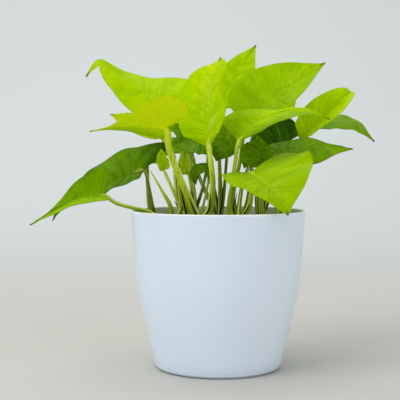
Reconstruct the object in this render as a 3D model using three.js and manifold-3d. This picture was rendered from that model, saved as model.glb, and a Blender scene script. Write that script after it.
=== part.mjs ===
// A golden pothos in a gloss white planter: the pot, its soil, and ten leafy stems.
// Millimetres, +Z up. The origin is the middle of the pot's flat foot, and the front is -Y.

import * as THREE from 'three';
import { mergeVertices } from 'three/addons/utils/BufferGeometryUtils.js';
import Module from 'manifold-3d';

// Pot
const RIM_RADIUS = 76;
const POT_HEIGHT = 137;
const FOOT_RADIUS = 51;
const FOOT_HEIGHT = 1.2;
const WALL = 2.2;
const FLOOR = 3.5;
const POT_SIDES = 40;
const LIP_ROUND = 0.8;
// Outer radius and height at each point that the convex side passes, from the foot to the rim.
const SIDE = [
  [55.2, 3.6],
  [59.6, 22],
  [66.4, 50],
  [71.4, 76],
  [74.2, 106],
  [RIM_RADIUS, POT_HEIGHT - LIP_ROUND],
];
const SIDE_STEPS = 7;

// Soil
const SOIL_LEVEL = 115;
const SOIL_GAP = 0.4;
const SOIL_RINGS = 4;
const SOIL_SIDES = POT_SIDES / 2;
const SOIL_LUMP = 1.3;
const LONG_LUMP_SHARE = 0.7;

// Stems
const VINE_RADIUS = 3.6;
const VINE_SIDES = 8;
const HOLE_DEPTH = 14;
const HOLE_GAP = 0.6;
const HOLE_SIDES = 12;
const PETIOLE_SIDES = 6;
const PETIOLE_STEPS = 7;
const PETIOLE_FOOT = 2.5;
const PETIOLE_NECK = 1.7;
const RIB_END = 0.7;
const RIB_REACH = 0.16;
// Shares of a petiole's length: where its foot has become its neck, and where it starts to
// run out under the midrib.
const NECK_FROM = 0.45;
const RUN_OUT_FROM = 0.85;
// Petioles leave a vine one after another on this stretch of its length.
const NODES_FROM = 0.68;
const NODES_TO = 0.94;
// The vine thins above this share of its length, to this share of its radius.
const VINE_THINS_FROM = 0.6;
const VINE_TIP = 0.64;
const VINE_STEPS = 6;
// A rolled young leaf.
const SHOOT_FROM = 0.85;
const SHOOT_FOOT = 2.6;
const SHOOT_TIP = 0.4;
const SHOOT_STEPS = 6;
// Corners closer than this are one.
const WELD = 1e-4;
// Joining solids leaves slivers; edges and faces finer than this are merged away.
const SLIVER = 0.02;

// Blades
const BLADE = 0.8;
// Half of a heart-shaped blade: share of the half width, share of the midrib's length.
const HEART = [
  [0, 0],
  [0.3, -0.085],
  [0.63, -0.095],
  [0.89, 0.03],
  [1, 0.2],
  [0.96, 0.38],
  [0.8, 0.55],
  [0.54, 0.72],
  [0.27, 0.85],
  [0.09, 0.94],
  [0, 1],
];
// A side vein leaves the midrib behind the place where it meets the edge.
const FAN = 0.18;
const VEIN_SWEEP = 1.3;
// A tapered half never gets narrower than this share of the plain one.
const SLIMMEST = 0.12;
// Rows and strips of a blade by its midrib's length.
const GRIDS = [
  { upTo: 40, rows: 6, strips: 2 },
  { upTo: 80, rows: 9, strips: 2 },
  { upTo: Infinity, rows: 11, strips: 3 },
];

const wasm = await Module();
wasm.setup();

function vector([x, y, z]) {
  return new THREE.Vector3(x, y, z);
}

// A closed mesh as a solid that can be joined and cut.
function solid(geometry) {
  const bare = geometry.clone();
  bare.deleteAttribute('normal');
  bare.deleteAttribute('uv');
  const merged = mergeVertices(bare, WELD);
  const mesh = new wasm.Mesh({
    numProp: 3,
    vertProperties: new Float32Array(merged.attributes.position.array),
    triVerts: new Uint32Array(merged.index.array),
  });
  return new wasm.Manifold(mesh);
}

// The solid's surface as a geometry again.
function surface(body) {
  const mesh = body.getMesh();
  const geometry = new THREE.BufferGeometry();
  geometry.setAttribute('position', new THREE.BufferAttribute(mesh.vertProperties, 3));
  geometry.setIndex(new THREE.BufferAttribute(mesh.triVerts, 1));
  geometry.computeVertexNormals();
  return geometry;
}

function named(name, geometry, colour, roughness) {
  const material = new THREE.MeshStandardMaterial({ color: colour, roughness, metalness: 0 });
  const mesh = new THREE.Mesh(geometry, material);
  mesh.name = name;
  return mesh;
}

// The pot's outer side as points of radius and height.
function sidePoints() {
  const curve = new THREE.SplineCurve(SIDE.map(([r, z]) => new THREE.Vector2(r, z)));
  return curve.getPoints(SIDE_STEPS);
}

// A profile of radius and height turned about the Z axis.
function turned(points, sides) {
  const lathe = new THREE.LatheGeometry(points, sides);
  lathe.rotateX(Math.PI / 2);
  return lathe;
}

function pot() {
  const outside = sidePoints();
  const inside = outside
    .filter((p) => p.y > FLOOR + WALL)
    .reverse()
    .map((p) => new THREE.Vector2(p.x - WALL, p.y));
  const lip = [
    new THREE.Vector2(RIM_RADIUS - LIP_ROUND, POT_HEIGHT),
    new THREE.Vector2(RIM_RADIUS - WALL + LIP_ROUND, POT_HEIGHT),
  ];
  const profile = [
    new THREE.Vector2(0, 0),
    new THREE.Vector2(FOOT_RADIUS, 0),
    new THREE.Vector2(FOOT_RADIUS, FOOT_HEIGHT),
    new THREE.Vector2(SIDE[0][0] - WALL, FOOT_HEIGHT),
    ...outside,
    ...lip,
    ...inside,
    new THREE.Vector2(SIDE[0][0] - WALL, FLOOR),
    new THREE.Vector2(0, FLOOR),
  ];
  return named('pot', turned(profile, POT_SIDES), 0xd5dfe9, 0.15);
}

// How far the soil's top stands above or below its level.
function lump(x, y) {
  const long = Math.sin(x * 0.11 + 0.6) * Math.cos(y * 0.13 - 0.4);
  const short = Math.sin(x * 0.31 - y * 0.23 + 1.1);
  return SOIL_LUMP * THREE.MathUtils.lerp(short, long, LONG_LUMP_SHARE);
}

function soil(feet) {
  const wall = sidePoints()
    .filter((p) => p.y > FLOOR + WALL && p.y < SOIL_LEVEL - SOIL_LUMP * 2)
    .map((p) => new THREE.Vector2(p.x - WALL - SOIL_GAP, p.y));
  const edge = innerRadius(SOIL_LEVEL) - SOIL_GAP;
  const top = [];
  for (let ring = SOIL_RINGS; ring >= 0; ring -= 1) {
    top.push(new THREE.Vector2((edge * ring) / SOIL_RINGS, SOIL_LEVEL));
  }
  const bottom = FLOOR + SOIL_GAP;
  const profile = [
    new THREE.Vector2(0, bottom),
    new THREE.Vector2(SIDE[0][0] - WALL - SOIL_GAP, bottom),
    ...wall,
    ...top,
  ];
  const lathe = turned(profile, SOIL_SIDES);
  const place = lathe.attributes.position;
  for (let i = 0; i < place.count; i += 1) {
    if (Math.abs(place.getZ(i) - SOIL_LEVEL) < WELD) {
      place.setZ(i, SOIL_LEVEL + lump(place.getX(i), place.getY(i)));
    }
  }
  let body = solid(lathe);
  for (const [x, y] of feet) {
    const hole = new THREE.CylinderGeometry(
      VINE_RADIUS + HOLE_GAP, VINE_RADIUS + HOLE_GAP, HOLE_DEPTH * 2, HOLE_SIDES);
    hole.rotateX(Math.PI / 2);
    hole.translate(x, y, SOIL_LEVEL);
    body = body.subtract(solid(hole));
  }
  return named('soil', surface(body), 0x3b2c20, 0.95);
}

// The pot's inner radius at a height.
function innerRadius(height) {
  const points = sidePoints();
  const above = points.findIndex((p) => p.y >= height);
  const [low, high] = [points[above - 1], points[above]];
  const share = (height - low.y) / (high.y - low.y);
  return THREE.MathUtils.lerp(low.x, high.x, share) - WALL;
}

// A round rod bent along a path of points, its radius given at each share of its length.
function bentRod(path, radiusAt, sides, steps) {
  const curve = new THREE.CatmullRomCurve3(path, false, 'centripetal');
  const frames = curve.computeFrenetFrames(steps, false);
  const rod = new THREE.CylinderGeometry(1, 1, 1, sides, steps);
  const place = rod.attributes.position;
  for (let i = 0; i < place.count; i += 1) {
    const share = place.getY(i) + 0.5;
    const step = Math.round(share * steps);
    const radius = radiusAt(share);
    const point = curve.getPointAt(share);
    point.addScaledVector(frames.normals[step], place.getX(i) * radius);
    point.addScaledVector(frames.binormals[step], -place.getZ(i) * radius);
    place.setXYZ(i, point.x, point.y, point.z);
  }
  return rod;
}

// The midrib of a leaf, with the frame of its blade at each share of its length.
class Midrib {
  constructor(leaf) {
    this.curve = new THREE.CatmullRomCurve3(
      [leaf.joint, ...leaf.rib].map(vector), false, 'centripetal');
    this.length = this.curve.getLength();
    this.face = vector(leaf.face).normalize();
    this.faceTip = vector(leaf.faceTip ?? leaf.face).normalize();
  }

  at(share) {
    const along = THREE.MathUtils.clamp(share, 0, 1);
    const point = this.curve.getPointAt(along);
    const ahead = this.curve.getTangentAt(along);
    const up = this.face.clone().lerp(this.faceTip, 1 - (1 - along) ** 2);
    up.addScaledVector(ahead, -up.dot(ahead)).normalize();
    const right = ahead.clone().cross(up);
    point.addScaledVector(ahead, (share - along) * this.length);
    return { point, ahead, up, right };
  }
}

// A place on the blade: row from 0 at the joint to 1 at the tip, strip from -1 at the left
// edge to 1 at the right edge.
function bladePoint(leaf, midrib, outline, row, strip) {
  const side = strip < 0 ? 0 : 1;
  const out = Math.abs(strip);
  const edge = outline.getPoint(row);
  const root = row < FAN ? 0 : ((row - FAN) / (1 - FAN)) ** VEIN_SWEEP;
  const lobe = edge.y < 0 ? (leaf.lobe?.[side] ?? 1) : 1;
  const sweep = (leaf.sweep?.[side] ?? 0) * edge.x * (1 - edge.y);
  const share = THREE.MathUtils.lerp(root, edge.y * lobe - sweep, out);
  const frame = midrib.at(share);
  const narrow = Math.max(SLIMMEST, 1 - (leaf.taper?.[side] ?? 0) * Math.max(0, edge.y));
  const [middle, span, ...dip] = leaf.nip ?? [0.5, 1, 0, 0];
  const dent = 1 - dip[side] * Math.exp(-(((row - middle) / span) ** 2));
  const reach = leaf.width[side] * edge.x * narrow * dent * out;
  const fold = THREE.MathUtils.degToRad(leaf.fold[side]);
  const bend = THREE.MathUtils.degToRad(leaf.curl?.[side] ?? 0) / leaf.width[side];
  let across = reach * Math.cos(fold);
  let rise = reach * Math.sin(fold);
  if (bend !== 0) {
    across = (Math.sin(fold + bend * reach) - Math.sin(fold)) / bend;
    rise = (Math.cos(fold) - Math.cos(fold + bend * reach)) / bend;
  }
  const [height, count, phase] = leaf.wave ?? [0, 0, 0];
  rise += height * out * out * Math.sin(2 * Math.PI * count * row + phase + side * 2) * edge.x;
  const point = frame.point;
  point.addScaledVector(frame.right, side === 0 ? -across : across);
  point.addScaledVector(frame.up, rise);
  return point;
}

// A closed blade: one sheet of triangles, raised and lowered by half the thickness, with a
// strip round its edge. Both faces are split alike.
function blade(leaf, midrib) {
  const { rows, strips } = GRIDS.find((grid) => midrib.length < grid.upTo);
  const outline = new THREE.SplineCurve(HEART.map(([x, y]) => new THREE.Vector2(x, y)));
  const sheet = new THREE.PlaneGeometry(2, 1, 2 * strips, rows);
  const place = sheet.attributes.position;
  for (let i = 0; i < place.count; i += 1) {
    const point = bladePoint(leaf, midrib, outline, place.getY(i) + 0.5, place.getX(i));
    place.setXYZ(i, point.x, point.y, point.z);
  }
  return thickened(sheet, BLADE);
}

function thickened(sheet, thickness) {
  sheet.deleteAttribute('normal');
  sheet.deleteAttribute('uv');
  const merged = mergeVertices(sheet, WELD);
  const corners = [];
  for (let i = 0; i < merged.index.count; i += 3) {
    const [a, b, c] = merged.index.array.slice(i, i + 3);
    if (a !== b && b !== c && c !== a) {
      corners.push([a, b, c]);
    }
  }
  merged.setIndex(corners.flat());
  merged.computeVertexNormals();
  const count = merged.attributes.position.count;
  const places = [];
  for (const lift of [thickness / 2, -thickness / 2]) {
    for (let i = 0; i < count; i += 1) {
      const point = new THREE.Vector3().fromBufferAttribute(merged.attributes.position, i);
      const normal = new THREE.Vector3().fromBufferAttribute(merged.attributes.normal, i);
      places.push(...point.addScaledVector(normal, lift));
    }
  }
  const used = new Set(corners.flatMap(([a, b, c]) => [`${a},${b}`, `${b},${c}`, `${c},${a}`]));
  const faces = [];
  for (const [a, b, c] of corners) {
    faces.push([a, b, c], [c + count, b + count, a + count]);
    for (const [from, to] of [[a, b], [b, c], [c, a]]) {
      if (!used.has(`${to},${from}`)) {
        faces.push([to, from, from + count], [to, from + count, to + count]);
      }
    }
  }
  const geometry = new THREE.BufferGeometry();
  geometry.setAttribute('position', new THREE.Float32BufferAttribute(places, 3));
  geometry.setIndex(faces.flat());
  return geometry;
}

// The leaf stalk, from the vine to the joint and on under the first stretch of the midrib.
function petiole(leaf, midrib, start) {
  const thick = leaf.thick ?? 1;
  const path = [start, ...(leaf.via ?? []).map(vector)];
  for (const share of [0, RIB_REACH]) {
    const frame = midrib.at(share);
    path.push(frame.point.addScaledVector(frame.up, -0.5 * (share === 0 ? PETIOLE_NECK : BLADE)));
  }
  const radiusAt = (share) => {
    const neck = THREE.MathUtils.lerp(
      PETIOLE_FOOT, PETIOLE_NECK, Math.min(1, share / NECK_FROM));
    const runOut = THREE.MathUtils.smoothstep(share, RUN_OUT_FROM, 1);
    return thick * THREE.MathUtils.lerp(neck, RIB_END, runOut);
  };
  return bentRod(path, radiusAt, PETIOLE_SIDES, leaf.steps ?? PETIOLE_STEPS);
}

// A leafy stem: a short vine that stands in the soil, with its leaves and shoots.
function leafyStem({ name, foot, top, colour, leaves, shoots = [] }) {
  const [x, y] = foot;
  const vinePath = [
    new THREE.Vector3(x, y, SOIL_LEVEL - HOLE_DEPTH + HOLE_GAP),
    new THREE.Vector3(x, y, SOIL_LEVEL - HOLE_DEPTH / 2),
    new THREE.Vector3(x, y, SOIL_LEVEL + SOIL_LUMP),
    vector(top),
  ];
  const vineRadius = (share) => {
    const thinning = Math.max(0, share - VINE_THINS_FROM) / (1 - VINE_THINS_FROM);
    return VINE_RADIUS * THREE.MathUtils.lerp(1, VINE_TIP, thinning);
  };
  let body = solid(bentRod(vinePath, vineRadius, VINE_SIDES, VINE_STEPS));
  const vine = new THREE.CatmullRomCurve3(vinePath, false, 'centripetal');
  leaves.forEach((leaf, i) => {
    const up = THREE.MathUtils.lerp(NODES_FROM, NODES_TO, (i + 1) / leaves.length);
    const start = vine.getPointAt(up);
    const midrib = new Midrib(leaf);
    body = body.add(solid(petiole(leaf, midrib, start)));
    body = body.add(solid(blade(leaf, midrib)));
  });
  for (const shoot of shoots) {
    const path = [vine.getPointAt(SHOOT_FROM), ...shoot.map(vector)];
    const shootRadius = (share) => THREE.MathUtils.lerp(SHOOT_FOOT, SHOOT_TIP, share);
    body = body.add(solid(bentRod(path, shootRadius, PETIOLE_SIDES, SHOOT_STEPS)));
  }
  return named(name, surface(body.simplify(SLIVER)), colour, 0.4);
}

// Each leaf: joint is where the stalk meets the blade and rib the places that the midrib
// passes to the tip; face is the way that the upper side looks, at the joint and at the tip;
// width, fold and curl (degrees up from flat, at the midrib and on the way to the edge) are
// those of the left and right half, seen from above with the tip ahead, and so are lobe (how
// far it reaches behind the joint), sweep (how far the edge leans back) and taper (how much it
// narrows to the tip); nip is a dent in the edge, as its middle and length in rows and its
// depth on each side; wave is height, count and phase; via are the places that the stalk
// passes; thick scales the stalk.
const STEMS = [
  {
    name: 'leafy_stem_left_front',
    foot: [-43, -17],
    top: [-41, -18, 130],
    colour: 0x6fa50c,
    leaves: [
      {
        joint: [-96, -28, 151],
        rib: [[-115, -34, 149.5], [-136, -38, 139], [-157, -40, 126]],
        face: [-0.1, -0.45, 0.88],
        width: [13, 31],
        fold: [5, 42],
        curl: [-10, 15],
        lobe: [0.3, 0.3],
        sweep: [0, 0.05],
        taper: [0.5, 1.2],
        nip: [0.52, 0.12, 0, 0.2],
        via: [[-60, -20, 136.5], [-72, -22, 139.8], [-86, -25, 144]],
      },
      {
        joint: [-47, -8, 173.5],
        rib: [[-49, -9, 181.5], [-48.5, -10, 191]],
        face: [0.4, -0.8, 0.4],
        width: [7, 7],
        fold: [30, 30],
        thick: 0.8,
        via: [[-33, -10, 137], [-38, -9, 152]],
      },
    ],
    shoots: [[[-40, -20, 139], [-48, -21, 155], [-57.5, -22, 171.5]]],
  },
  {
    name: 'leafy_stem_left_back',
    foot: [-52, 12],
    top: [-56, 14, 129],
    colour: 0x3f7a08,
    leaves: [
      {
        joint: [-66, 10, 172],
        rib: [[-87, 9, 164], [-114, 3, 149], [-137, -5, 137.5], [-144, -7, 127.5]],
        face: [-0.1, -0.8, 0.55],
        width: [20, 31],
        fold: [38, 5],
        curl: [0, -20],
        lobe: [0.2, 2.6],
        sweep: [-0.1, 0.05],
        taper: [0.7, 0.3],
        wave: [1.2, 3, 0],
        thick: 0.85,
        via: [[-58, 10, 140], [-61, 12, 155]],
      },
      {
        joint: [-66, 42, 178],
        rib: [[-76, 56, 184], [-85, 72, 180], [-90, 86, 170]],
        face: [-0.2, 0.1, 0.95],
        width: [24, 24],
        fold: [10, 10],
        curl: [-20, -20],
        via: [[-62, 28, 140], [-64, 34, 160]],
      },
    ],
  },
  {
    name: 'leafy_stem_centre_front',
    foot: [-14, -28],
    top: [-15, -28, 131],
    colour: 0xa9d004,
    leaves: [
      {
        joint: [-44, -34, 207],
        rib: [[-65, -38, 209], [-85, -42, 208], [-106, -46, 204]],
        face: [0, 0.59, 0.81],
        faceTip: [0, 0.25, 0.97],
        width: [40, 16],
        fold: [19, -5],
        lobe: [2.4, 1],
        sweep: [0, 0],
        taper: [1.15, 0.5],
        thick: 1.6,
        via: [[-21, -29, 139], [-25, -30, 149], [-33, -31, 168], [-41, -33, 190]],
      },
      {
        joint: [-8, -30, 191.5],
        rib: [[-7, -35, 217], [-5, -38, 240], [0, -35, 258], [2.5, -24, 267]],
        face: [-0.35, -0.9, 0.2],
        width: [27, 14.5],
        fold: [8, 25],
        curl: [-10, 0],
        lobe: [0, 0],
        sweep: [-0.1, -0.2],
        taper: [-0.3, -1.2],
        nip: [0.62, 0.12, 0, 0.55],
        wave: [1.5, 3, 1],
        thick: 1.4,
        via: [[-7, -27, 138], [-5.5, -28, 148], [-4.4, -29, 162], [-6, -30, 178]],
      },
      {
        joint: [-8, -8, 169.5],
        rib: [[-13, -10, 173.5], [-20, -12, 168], [-19, -12, 159]],
        face: [-0.2, -0.5, 0.85],
        width: [8, 9],
        fold: [10, 10],
        thick: 0.6,
        via: [[-13, -20, 140], [-9, -12, 158]],
      },
    ],
  },
  {
    name: 'leafy_stem_centre_left',
    foot: [-26, 4],
    top: [-26, 6, 131],
    colour: 0x9ccb08,
    leaves: [
      {
        joint: [-33, 8, 223],
        rib: [[-59, 2, 237], [-84, -2, 254], [-103, -4, 267], [-114, -8, 252]],
        face: [0.15, -0.8, 0.55],
        faceTip: [0, -0.3, 0.95],
        width: [25, 44],
        fold: [-35, 0],
        lobe: [0.1, 1],
        taper: [0, 1.1],
        via: [[-21, 4, 140], [-24, 6, 170]],
      },
      {
        joint: [-8, 4, 192],
        rib: [[-17, 3, 195], [-29, 1, 196], [-43, 0, 195]],
        face: [0, -0.6, 0.8],
        width: [15, 10],
        fold: [8, 8],
        lobe: [0.3, 0.3],
        taper: [-0.8, -0.8],
        thick: 0.8,
        via: [[-17, 8, 145], [-11, 10, 168]],
      },
      {
        joint: [-26, 13, 168.5],
        rib: [[-28, 13, 181], [-29.5, 13, 193]],
        face: [0, -1, 0.2],
        width: [7, 5.5],
        fold: [20, 20],
        lobe: [0, 0],
        thick: 0.7,
        via: [[-23, 11, 145]],
      },
      {
        joint: [-28, 12, 198],
        rib: [[-34, 8, 206], [-40, 3, 214], [-46, 0, 221]],
        face: [0, -0.6, 0.8],
        width: [14, 14],
        fold: [5, 5],
        thick: 0.8,
        via: [[-33, 10, 145], [-35, 17, 175]],
      },
      {
        joint: [-55, 11, 205],
        rib: [[-67, 12, 211], [-80, 11, 215.5], [-95, 10, 221]],
        face: [0, -0.75, 0.65],
        width: [11, 8],
        fold: [10, 5],
        taper: [-0.6, -1],
        thick: 0.8,
        via: [[-30, 6, 145], [-35, 6, 168], [-42, 8, 191]],
      },
      {
        joint: [-54, 40, 207],
        rib: [[-62, 58, 216], [-70, 78, 218], [-74, 94, 210]],
        face: [-0.1, 0, 1],
        width: [22, 22],
        fold: [12, 12],
        curl: [-20, -20],
        via: [[-25, 22, 142], [-34, 31, 165], [-46, 38, 192]],
      },
      {
        joint: [-40, 28, 187],
        rib: [[-45, 36, 191.5], [-49, 44, 190], [-51, 51, 184]],
        face: [-0.1, -0.2, 1],
        width: [11, 11],
        fold: [10, 10],
        curl: [-20, -20],
        thick: 0.9,
        via: [[-35, 10, 143], [-38, 17, 162]],
      },
    ],
  },
  {
    name: 'leafy_stem_centre_back',
    foot: [2, 22],
    top: [1, 24, 131],
    colour: 0x8fc20a,
    leaves: [
      {
        joint: [1, 27, 228],
        rib: [[14, 28, 253], [34, 26, 284]],
        face: [-0.2, -0.95, 0.25],
        width: [18, 22],
        fold: [5, 15],
        lobe: [0.3, 0.3],
        sweep: [0, -0.15],
        via: [[2, 25, 150], [1, 26, 190]],
      },
      {
        joint: [11, 19, 209.5],
        rib: [[8, 14, 203.5], [4, 11, 192], [-2, 10, 179.5]],
        face: [0, -0.9, 0.4],
        width: [12, 17],
        fold: [0, 0],
        taper: [-0.8, -0.6],
        thick: 0.8,
        via: [[5, 22, 150], [8, 23, 185]],
      },
      {
        joint: [-7, 46, 208],
        rib: [[-8, 66, 219], [-7, 90, 219], [-5, 108, 206]],
        face: [0, 0, 1],
        width: [24, 24],
        fold: [12, 12],
        curl: [-20, -20],
        via: [[-2, 30, 145], [-9, 38, 175]],
      },
      {
        joint: [-26, 54, 192],
        rib: [[-32, 72, 200], [-38, 94, 202], [-40, 112, 194]],
        face: [-0.15, 0, 1],
        width: [22, 22],
        fold: [12, 12],
        curl: [-20, -20],
        via: [[-8, 36, 145], [-20, 46, 172]],
      },
    ],
  },
  {
    name: 'leafy_stem_right_front',
    foot: [16, -24],
    top: [17, -24, 131],
    colour: 0xa2ca05,
    leaves: [
      {
        joint: [17, -34, 196],
        rib: [[27, -36, 207], [48, -37, 218.5], [71, -39, 222], [92, -44, 214]],
        face: [-0.45, -0.8, 0.4],
        faceTip: [0.1, -0.75, 0.65],
        width: [39, 11],
        fold: [-10, 32],
        lobe: [0, 0],
        sweep: [0.0, -0.12],
        taper: [1.9, -1.5],
        thick: 1.05,
        via: [[10, -24, 139], [12, -22, 160], [15, -25, 182]],
      },
      {
        joint: [28, -26, 170],
        rib: [[36, -44, 164], [47, -62, 152], [56, -70, 136]],
        face: [-0.2, -0.5, 0.85],
        width: [49, 32],
        fold: [10, 20],
        curl: [-15, 0],
        lobe: [1, 0.85],
        taper: [0, 0.35],
        wave: [1.5, 3, 0],
        via: [[27, -20, 142], [29, -18, 158]],
      },
      {
        joint: [30, -14, 192],
        rib: [[26, -15, 183.5], [22, -15, 173]],
        face: [0, -0.9, 0.4],
        width: [8.5, 8.5],
        fold: [5, 5],
        thick: 0.9,
        via: [[18, -21, 142], [21, -14, 160], [27, -11.5, 178]],
      },
    ],
  },
  {
    name: 'leafy_stem_right_low',
    foot: [38, -6],
    top: [38, -6, 130],
    colour: 0x5c9006,
    leaves: [
      {
        joint: [47, 0, 184],
        rib: [[71, -3, 192], [95, -4, 193], [117, -2, 190]],
        face: [0, -0.6, 0.8],
        width: [20, 27],
        fold: [-5, -5],
        taper: [0.8, 0],
        wave: [2, 3.5, 2],
        via: [[40, -4, 145], [44, 1, 168]],
      },
      {
        joint: [37, -4, 178],
        rib: [[35, -4, 188], [33, -2, 197], [30.5, 0, 205]],
        face: [0.2, -0.9, 0.3],
        width: [11, 11],
        fold: [10, 10],
        thick: 0.7,
        via: [[38, -8, 152]],
      },
    ],
  },
  {
    name: 'leafy_stem_right_centre',
    foot: [22, 12],
    top: [21, 12, 131],
    colour: 0x82b506,
    leaves: [
      {
        joint: [25, 6, 214],
        rib: [[44, 2, 231], [69, 0, 249], [93, 0, 265]],
        face: [-0.3, -0.85, 0.45],
        width: [36, 27],
        fold: [6, 24],
        lobe: [0.4, 1],
        via: [[13, 9, 142], [19, 7, 178]],
      },
      {
        joint: [32, 28, 203],
        rib: [[46, 31, 212], [62, 32, 212], [78, 32, 205]],
        face: [0.1, -0.92, 0.4],
        width: [12, 31],
        fold: [8, 8],
        taper: [0, -0.5],
        via: [[26, 18, 142], [30, 26, 170]],
      },
    ],
  },
  {
    name: 'leafy_stem_far_right',
    foot: [54, 8],
    top: [53, 9, 130],
    colour: 0x7cae0a,
    leaves: [
      {
        joint: [73, 20, 197],
        rib: [[86, 21, 214], [103, 23, 230], [117, 28, 241], [119, 38, 243]],
        face: [0, -0.85, 0.5],
        faceTip: [0.4, -0.8, 0.3],
        width: [15, 16],
        fold: [5, 62],
        lobe: [0, 0],
        sweep: [-0.15, -0.15],
        taper: [-0.6, -1],
        nip: [0.6, 0.2, 0.15, 0],
        via: [[53, 11, 142], [64, 17, 168]],
      },
      {
        joint: [84, 39, 214],
        rib: [[101, 37, 217], [124, 33, 213], [141, 32, 197]],
        face: [0.1, -0.35, 0.93],
        width: [18, 17],
        fold: [0, -12],
        lobe: [0.6, 0],
        sweep: [0, -0.1],
        via: [[56, 19, 142], [66, 31, 173], [75, 38, 198]],
      },
    ],
  },
  {
    name: 'leafy_stem_back_right',
    foot: [38, 38],
    top: [39, 40, 130],
    colour: 0x659c0a,
    leaves: [
      {
        joint: [42, 48, 222],
        rib: [[47, 66, 240], [53, 90, 246], [57, 108, 236]],
        face: [0.1, -0.1, 1],
        width: [27, 27],
        fold: [12, 12],
        curl: [-20, -20],
        via: [[37, 43, 145], [40, 46, 185]],
      },
      {
        joint: [56, 50, 176],
        rib: [[62, 66, 186], [70, 84, 182], [76, 96, 168]],
        face: [0.3, 0.1, 0.95],
        width: [26, 26],
        fold: [10, 10],
        curl: [-20, -20],
        via: [[46, 44, 144], [52, 47, 160]],
      },
      {
        joint: [40, 66, 158],
        rib: [[46, 80, 162], [54, 98, 154], [60, 110, 140]],
        face: [0, 0.2, 1],
        width: [26, 26],
        fold: [10, 10],
        curl: [-20, -20],
        via: [[40, 50, 138], [40, 58, 148]],
      },
    ],
  },
];

const group = new THREE.Group();
group.add(pot());
group.add(soil(STEMS.map((stem) => stem.foot)));
for (const stem of STEMS) {
  group.add(leafyStem(stem));
}

export default group;
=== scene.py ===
"""A golden pothos in a gloss white planter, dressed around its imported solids.

The plant is a bunch of rooted cuttings in a filled pot. Places and sizes are in millimetres
until they become meshes, which are in metres. +Z is up, the front is -Y, and the origin is the
middle of the pot's foot.
"""

import logging
import math
from collections.abc import Iterable, Mapping, Sequence
from dataclasses import dataclass, field
from enum import Enum
from typing import Any

import bpy
import numpy as np
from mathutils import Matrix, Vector


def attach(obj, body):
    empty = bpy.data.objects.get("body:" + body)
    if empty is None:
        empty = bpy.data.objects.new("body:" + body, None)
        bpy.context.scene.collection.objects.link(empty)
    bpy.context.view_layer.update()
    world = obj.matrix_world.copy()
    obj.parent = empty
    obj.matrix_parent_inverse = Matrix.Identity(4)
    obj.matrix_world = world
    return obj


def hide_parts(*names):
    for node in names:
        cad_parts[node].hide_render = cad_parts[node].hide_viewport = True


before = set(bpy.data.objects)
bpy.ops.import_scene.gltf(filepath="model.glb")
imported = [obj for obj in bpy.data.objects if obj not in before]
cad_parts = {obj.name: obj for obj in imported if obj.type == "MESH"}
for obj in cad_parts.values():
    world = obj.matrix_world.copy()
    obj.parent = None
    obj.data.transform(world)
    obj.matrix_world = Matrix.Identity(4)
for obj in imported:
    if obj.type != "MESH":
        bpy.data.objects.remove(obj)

LOG = logging.getLogger("potted_pothos")
MM = 0.001
BODY = "root"
TURN = 2 * math.pi
TINY = 1e-9

Point = tuple[float, float, float]
Pair = tuple[float, float]
Colour = tuple[float, float, float, float]
MarkedFace = tuple[tuple[int, ...], tuple[Pair, ...]]


def srgb(red: int, green: int, blue: int) -> Colour:
    """Gives the linear colour of three display levels.

    Args:
        red: Red from 0 to 255.
        green: Green from 0 to 255.
        blue: Blue from 0 to 255.

    Returns:
        The linear colour with a full alpha.
    """

    def linear(level: int) -> float:
        """Gives the light of one display level."""
        share = level / 255
        return share / 12.92 if share <= 0.04045 else ((share + 0.055) / 1.055) ** 2.4

    return (linear(red), linear(green), linear(blue), 1.0)


# Node trees


class Value:
    """A number in a node tree, so that an expression on it adds Math nodes."""

    def __init__(self, graph: "Graph", socket: bpy.types.NodeSocket) -> None:
        """Wraps a socket.

        Args:
            graph: The builder of the socket's tree.
            socket: The output that carries the number.
        """
        self.graph = graph
        self.socket = socket

    def __add__(self, other: Any) -> "Value":
        """Adds."""
        return self.graph.math("ADD", self, other)

    __radd__ = __add__

    def __sub__(self, other: Any) -> "Value":
        """Subtracts."""
        return self.graph.math("SUBTRACT", self, other)

    def __rsub__(self, other: Any) -> "Value":
        """Is subtracted from a number."""
        return self.graph.math("SUBTRACT", other, self)

    def __mul__(self, other: Any) -> "Value":
        """Multiplies."""
        return self.graph.math("MULTIPLY", self, other)

    __rmul__ = __mul__

    def __pow__(self, other: Any) -> "Value":
        """Raises to a power."""
        return self.graph.math("POWER", self, other)

    def __abs__(self) -> "Value":
        """Drops the sign."""
        return self.graph.math("ABSOLUTE", self)

    def sine(self) -> "Value":
        """Gives the sine."""
        return self.graph.math("SINE", self)

    def cosine(self) -> "Value":
        """Gives the cosine."""
        return self.graph.math("COSINE", self)

    def fraction(self) -> "Value":
        """Gives what stands after the point."""
        return self.graph.math("FRACT", self)

    def step(self, low: float, high: float) -> "Value":
        """Goes smoothly from 0 at low to 1 at high.

        Args:
            low: Where the step starts.
            high: Where the step ends; lower than low turns the step round.

        Returns:
            The smooth step.
        """
        ends = {0: self, 1: low, 2: high, 3: 0.0, 4: 1.0}
        if high < low:
            ends = {0: self, 1: high, 2: low, 3: 1.0, 4: 0.0}
        return self.graph.value("ShaderNodeMapRange", {"interpolation_type": "SMOOTHSTEP"}, ends)


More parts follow.
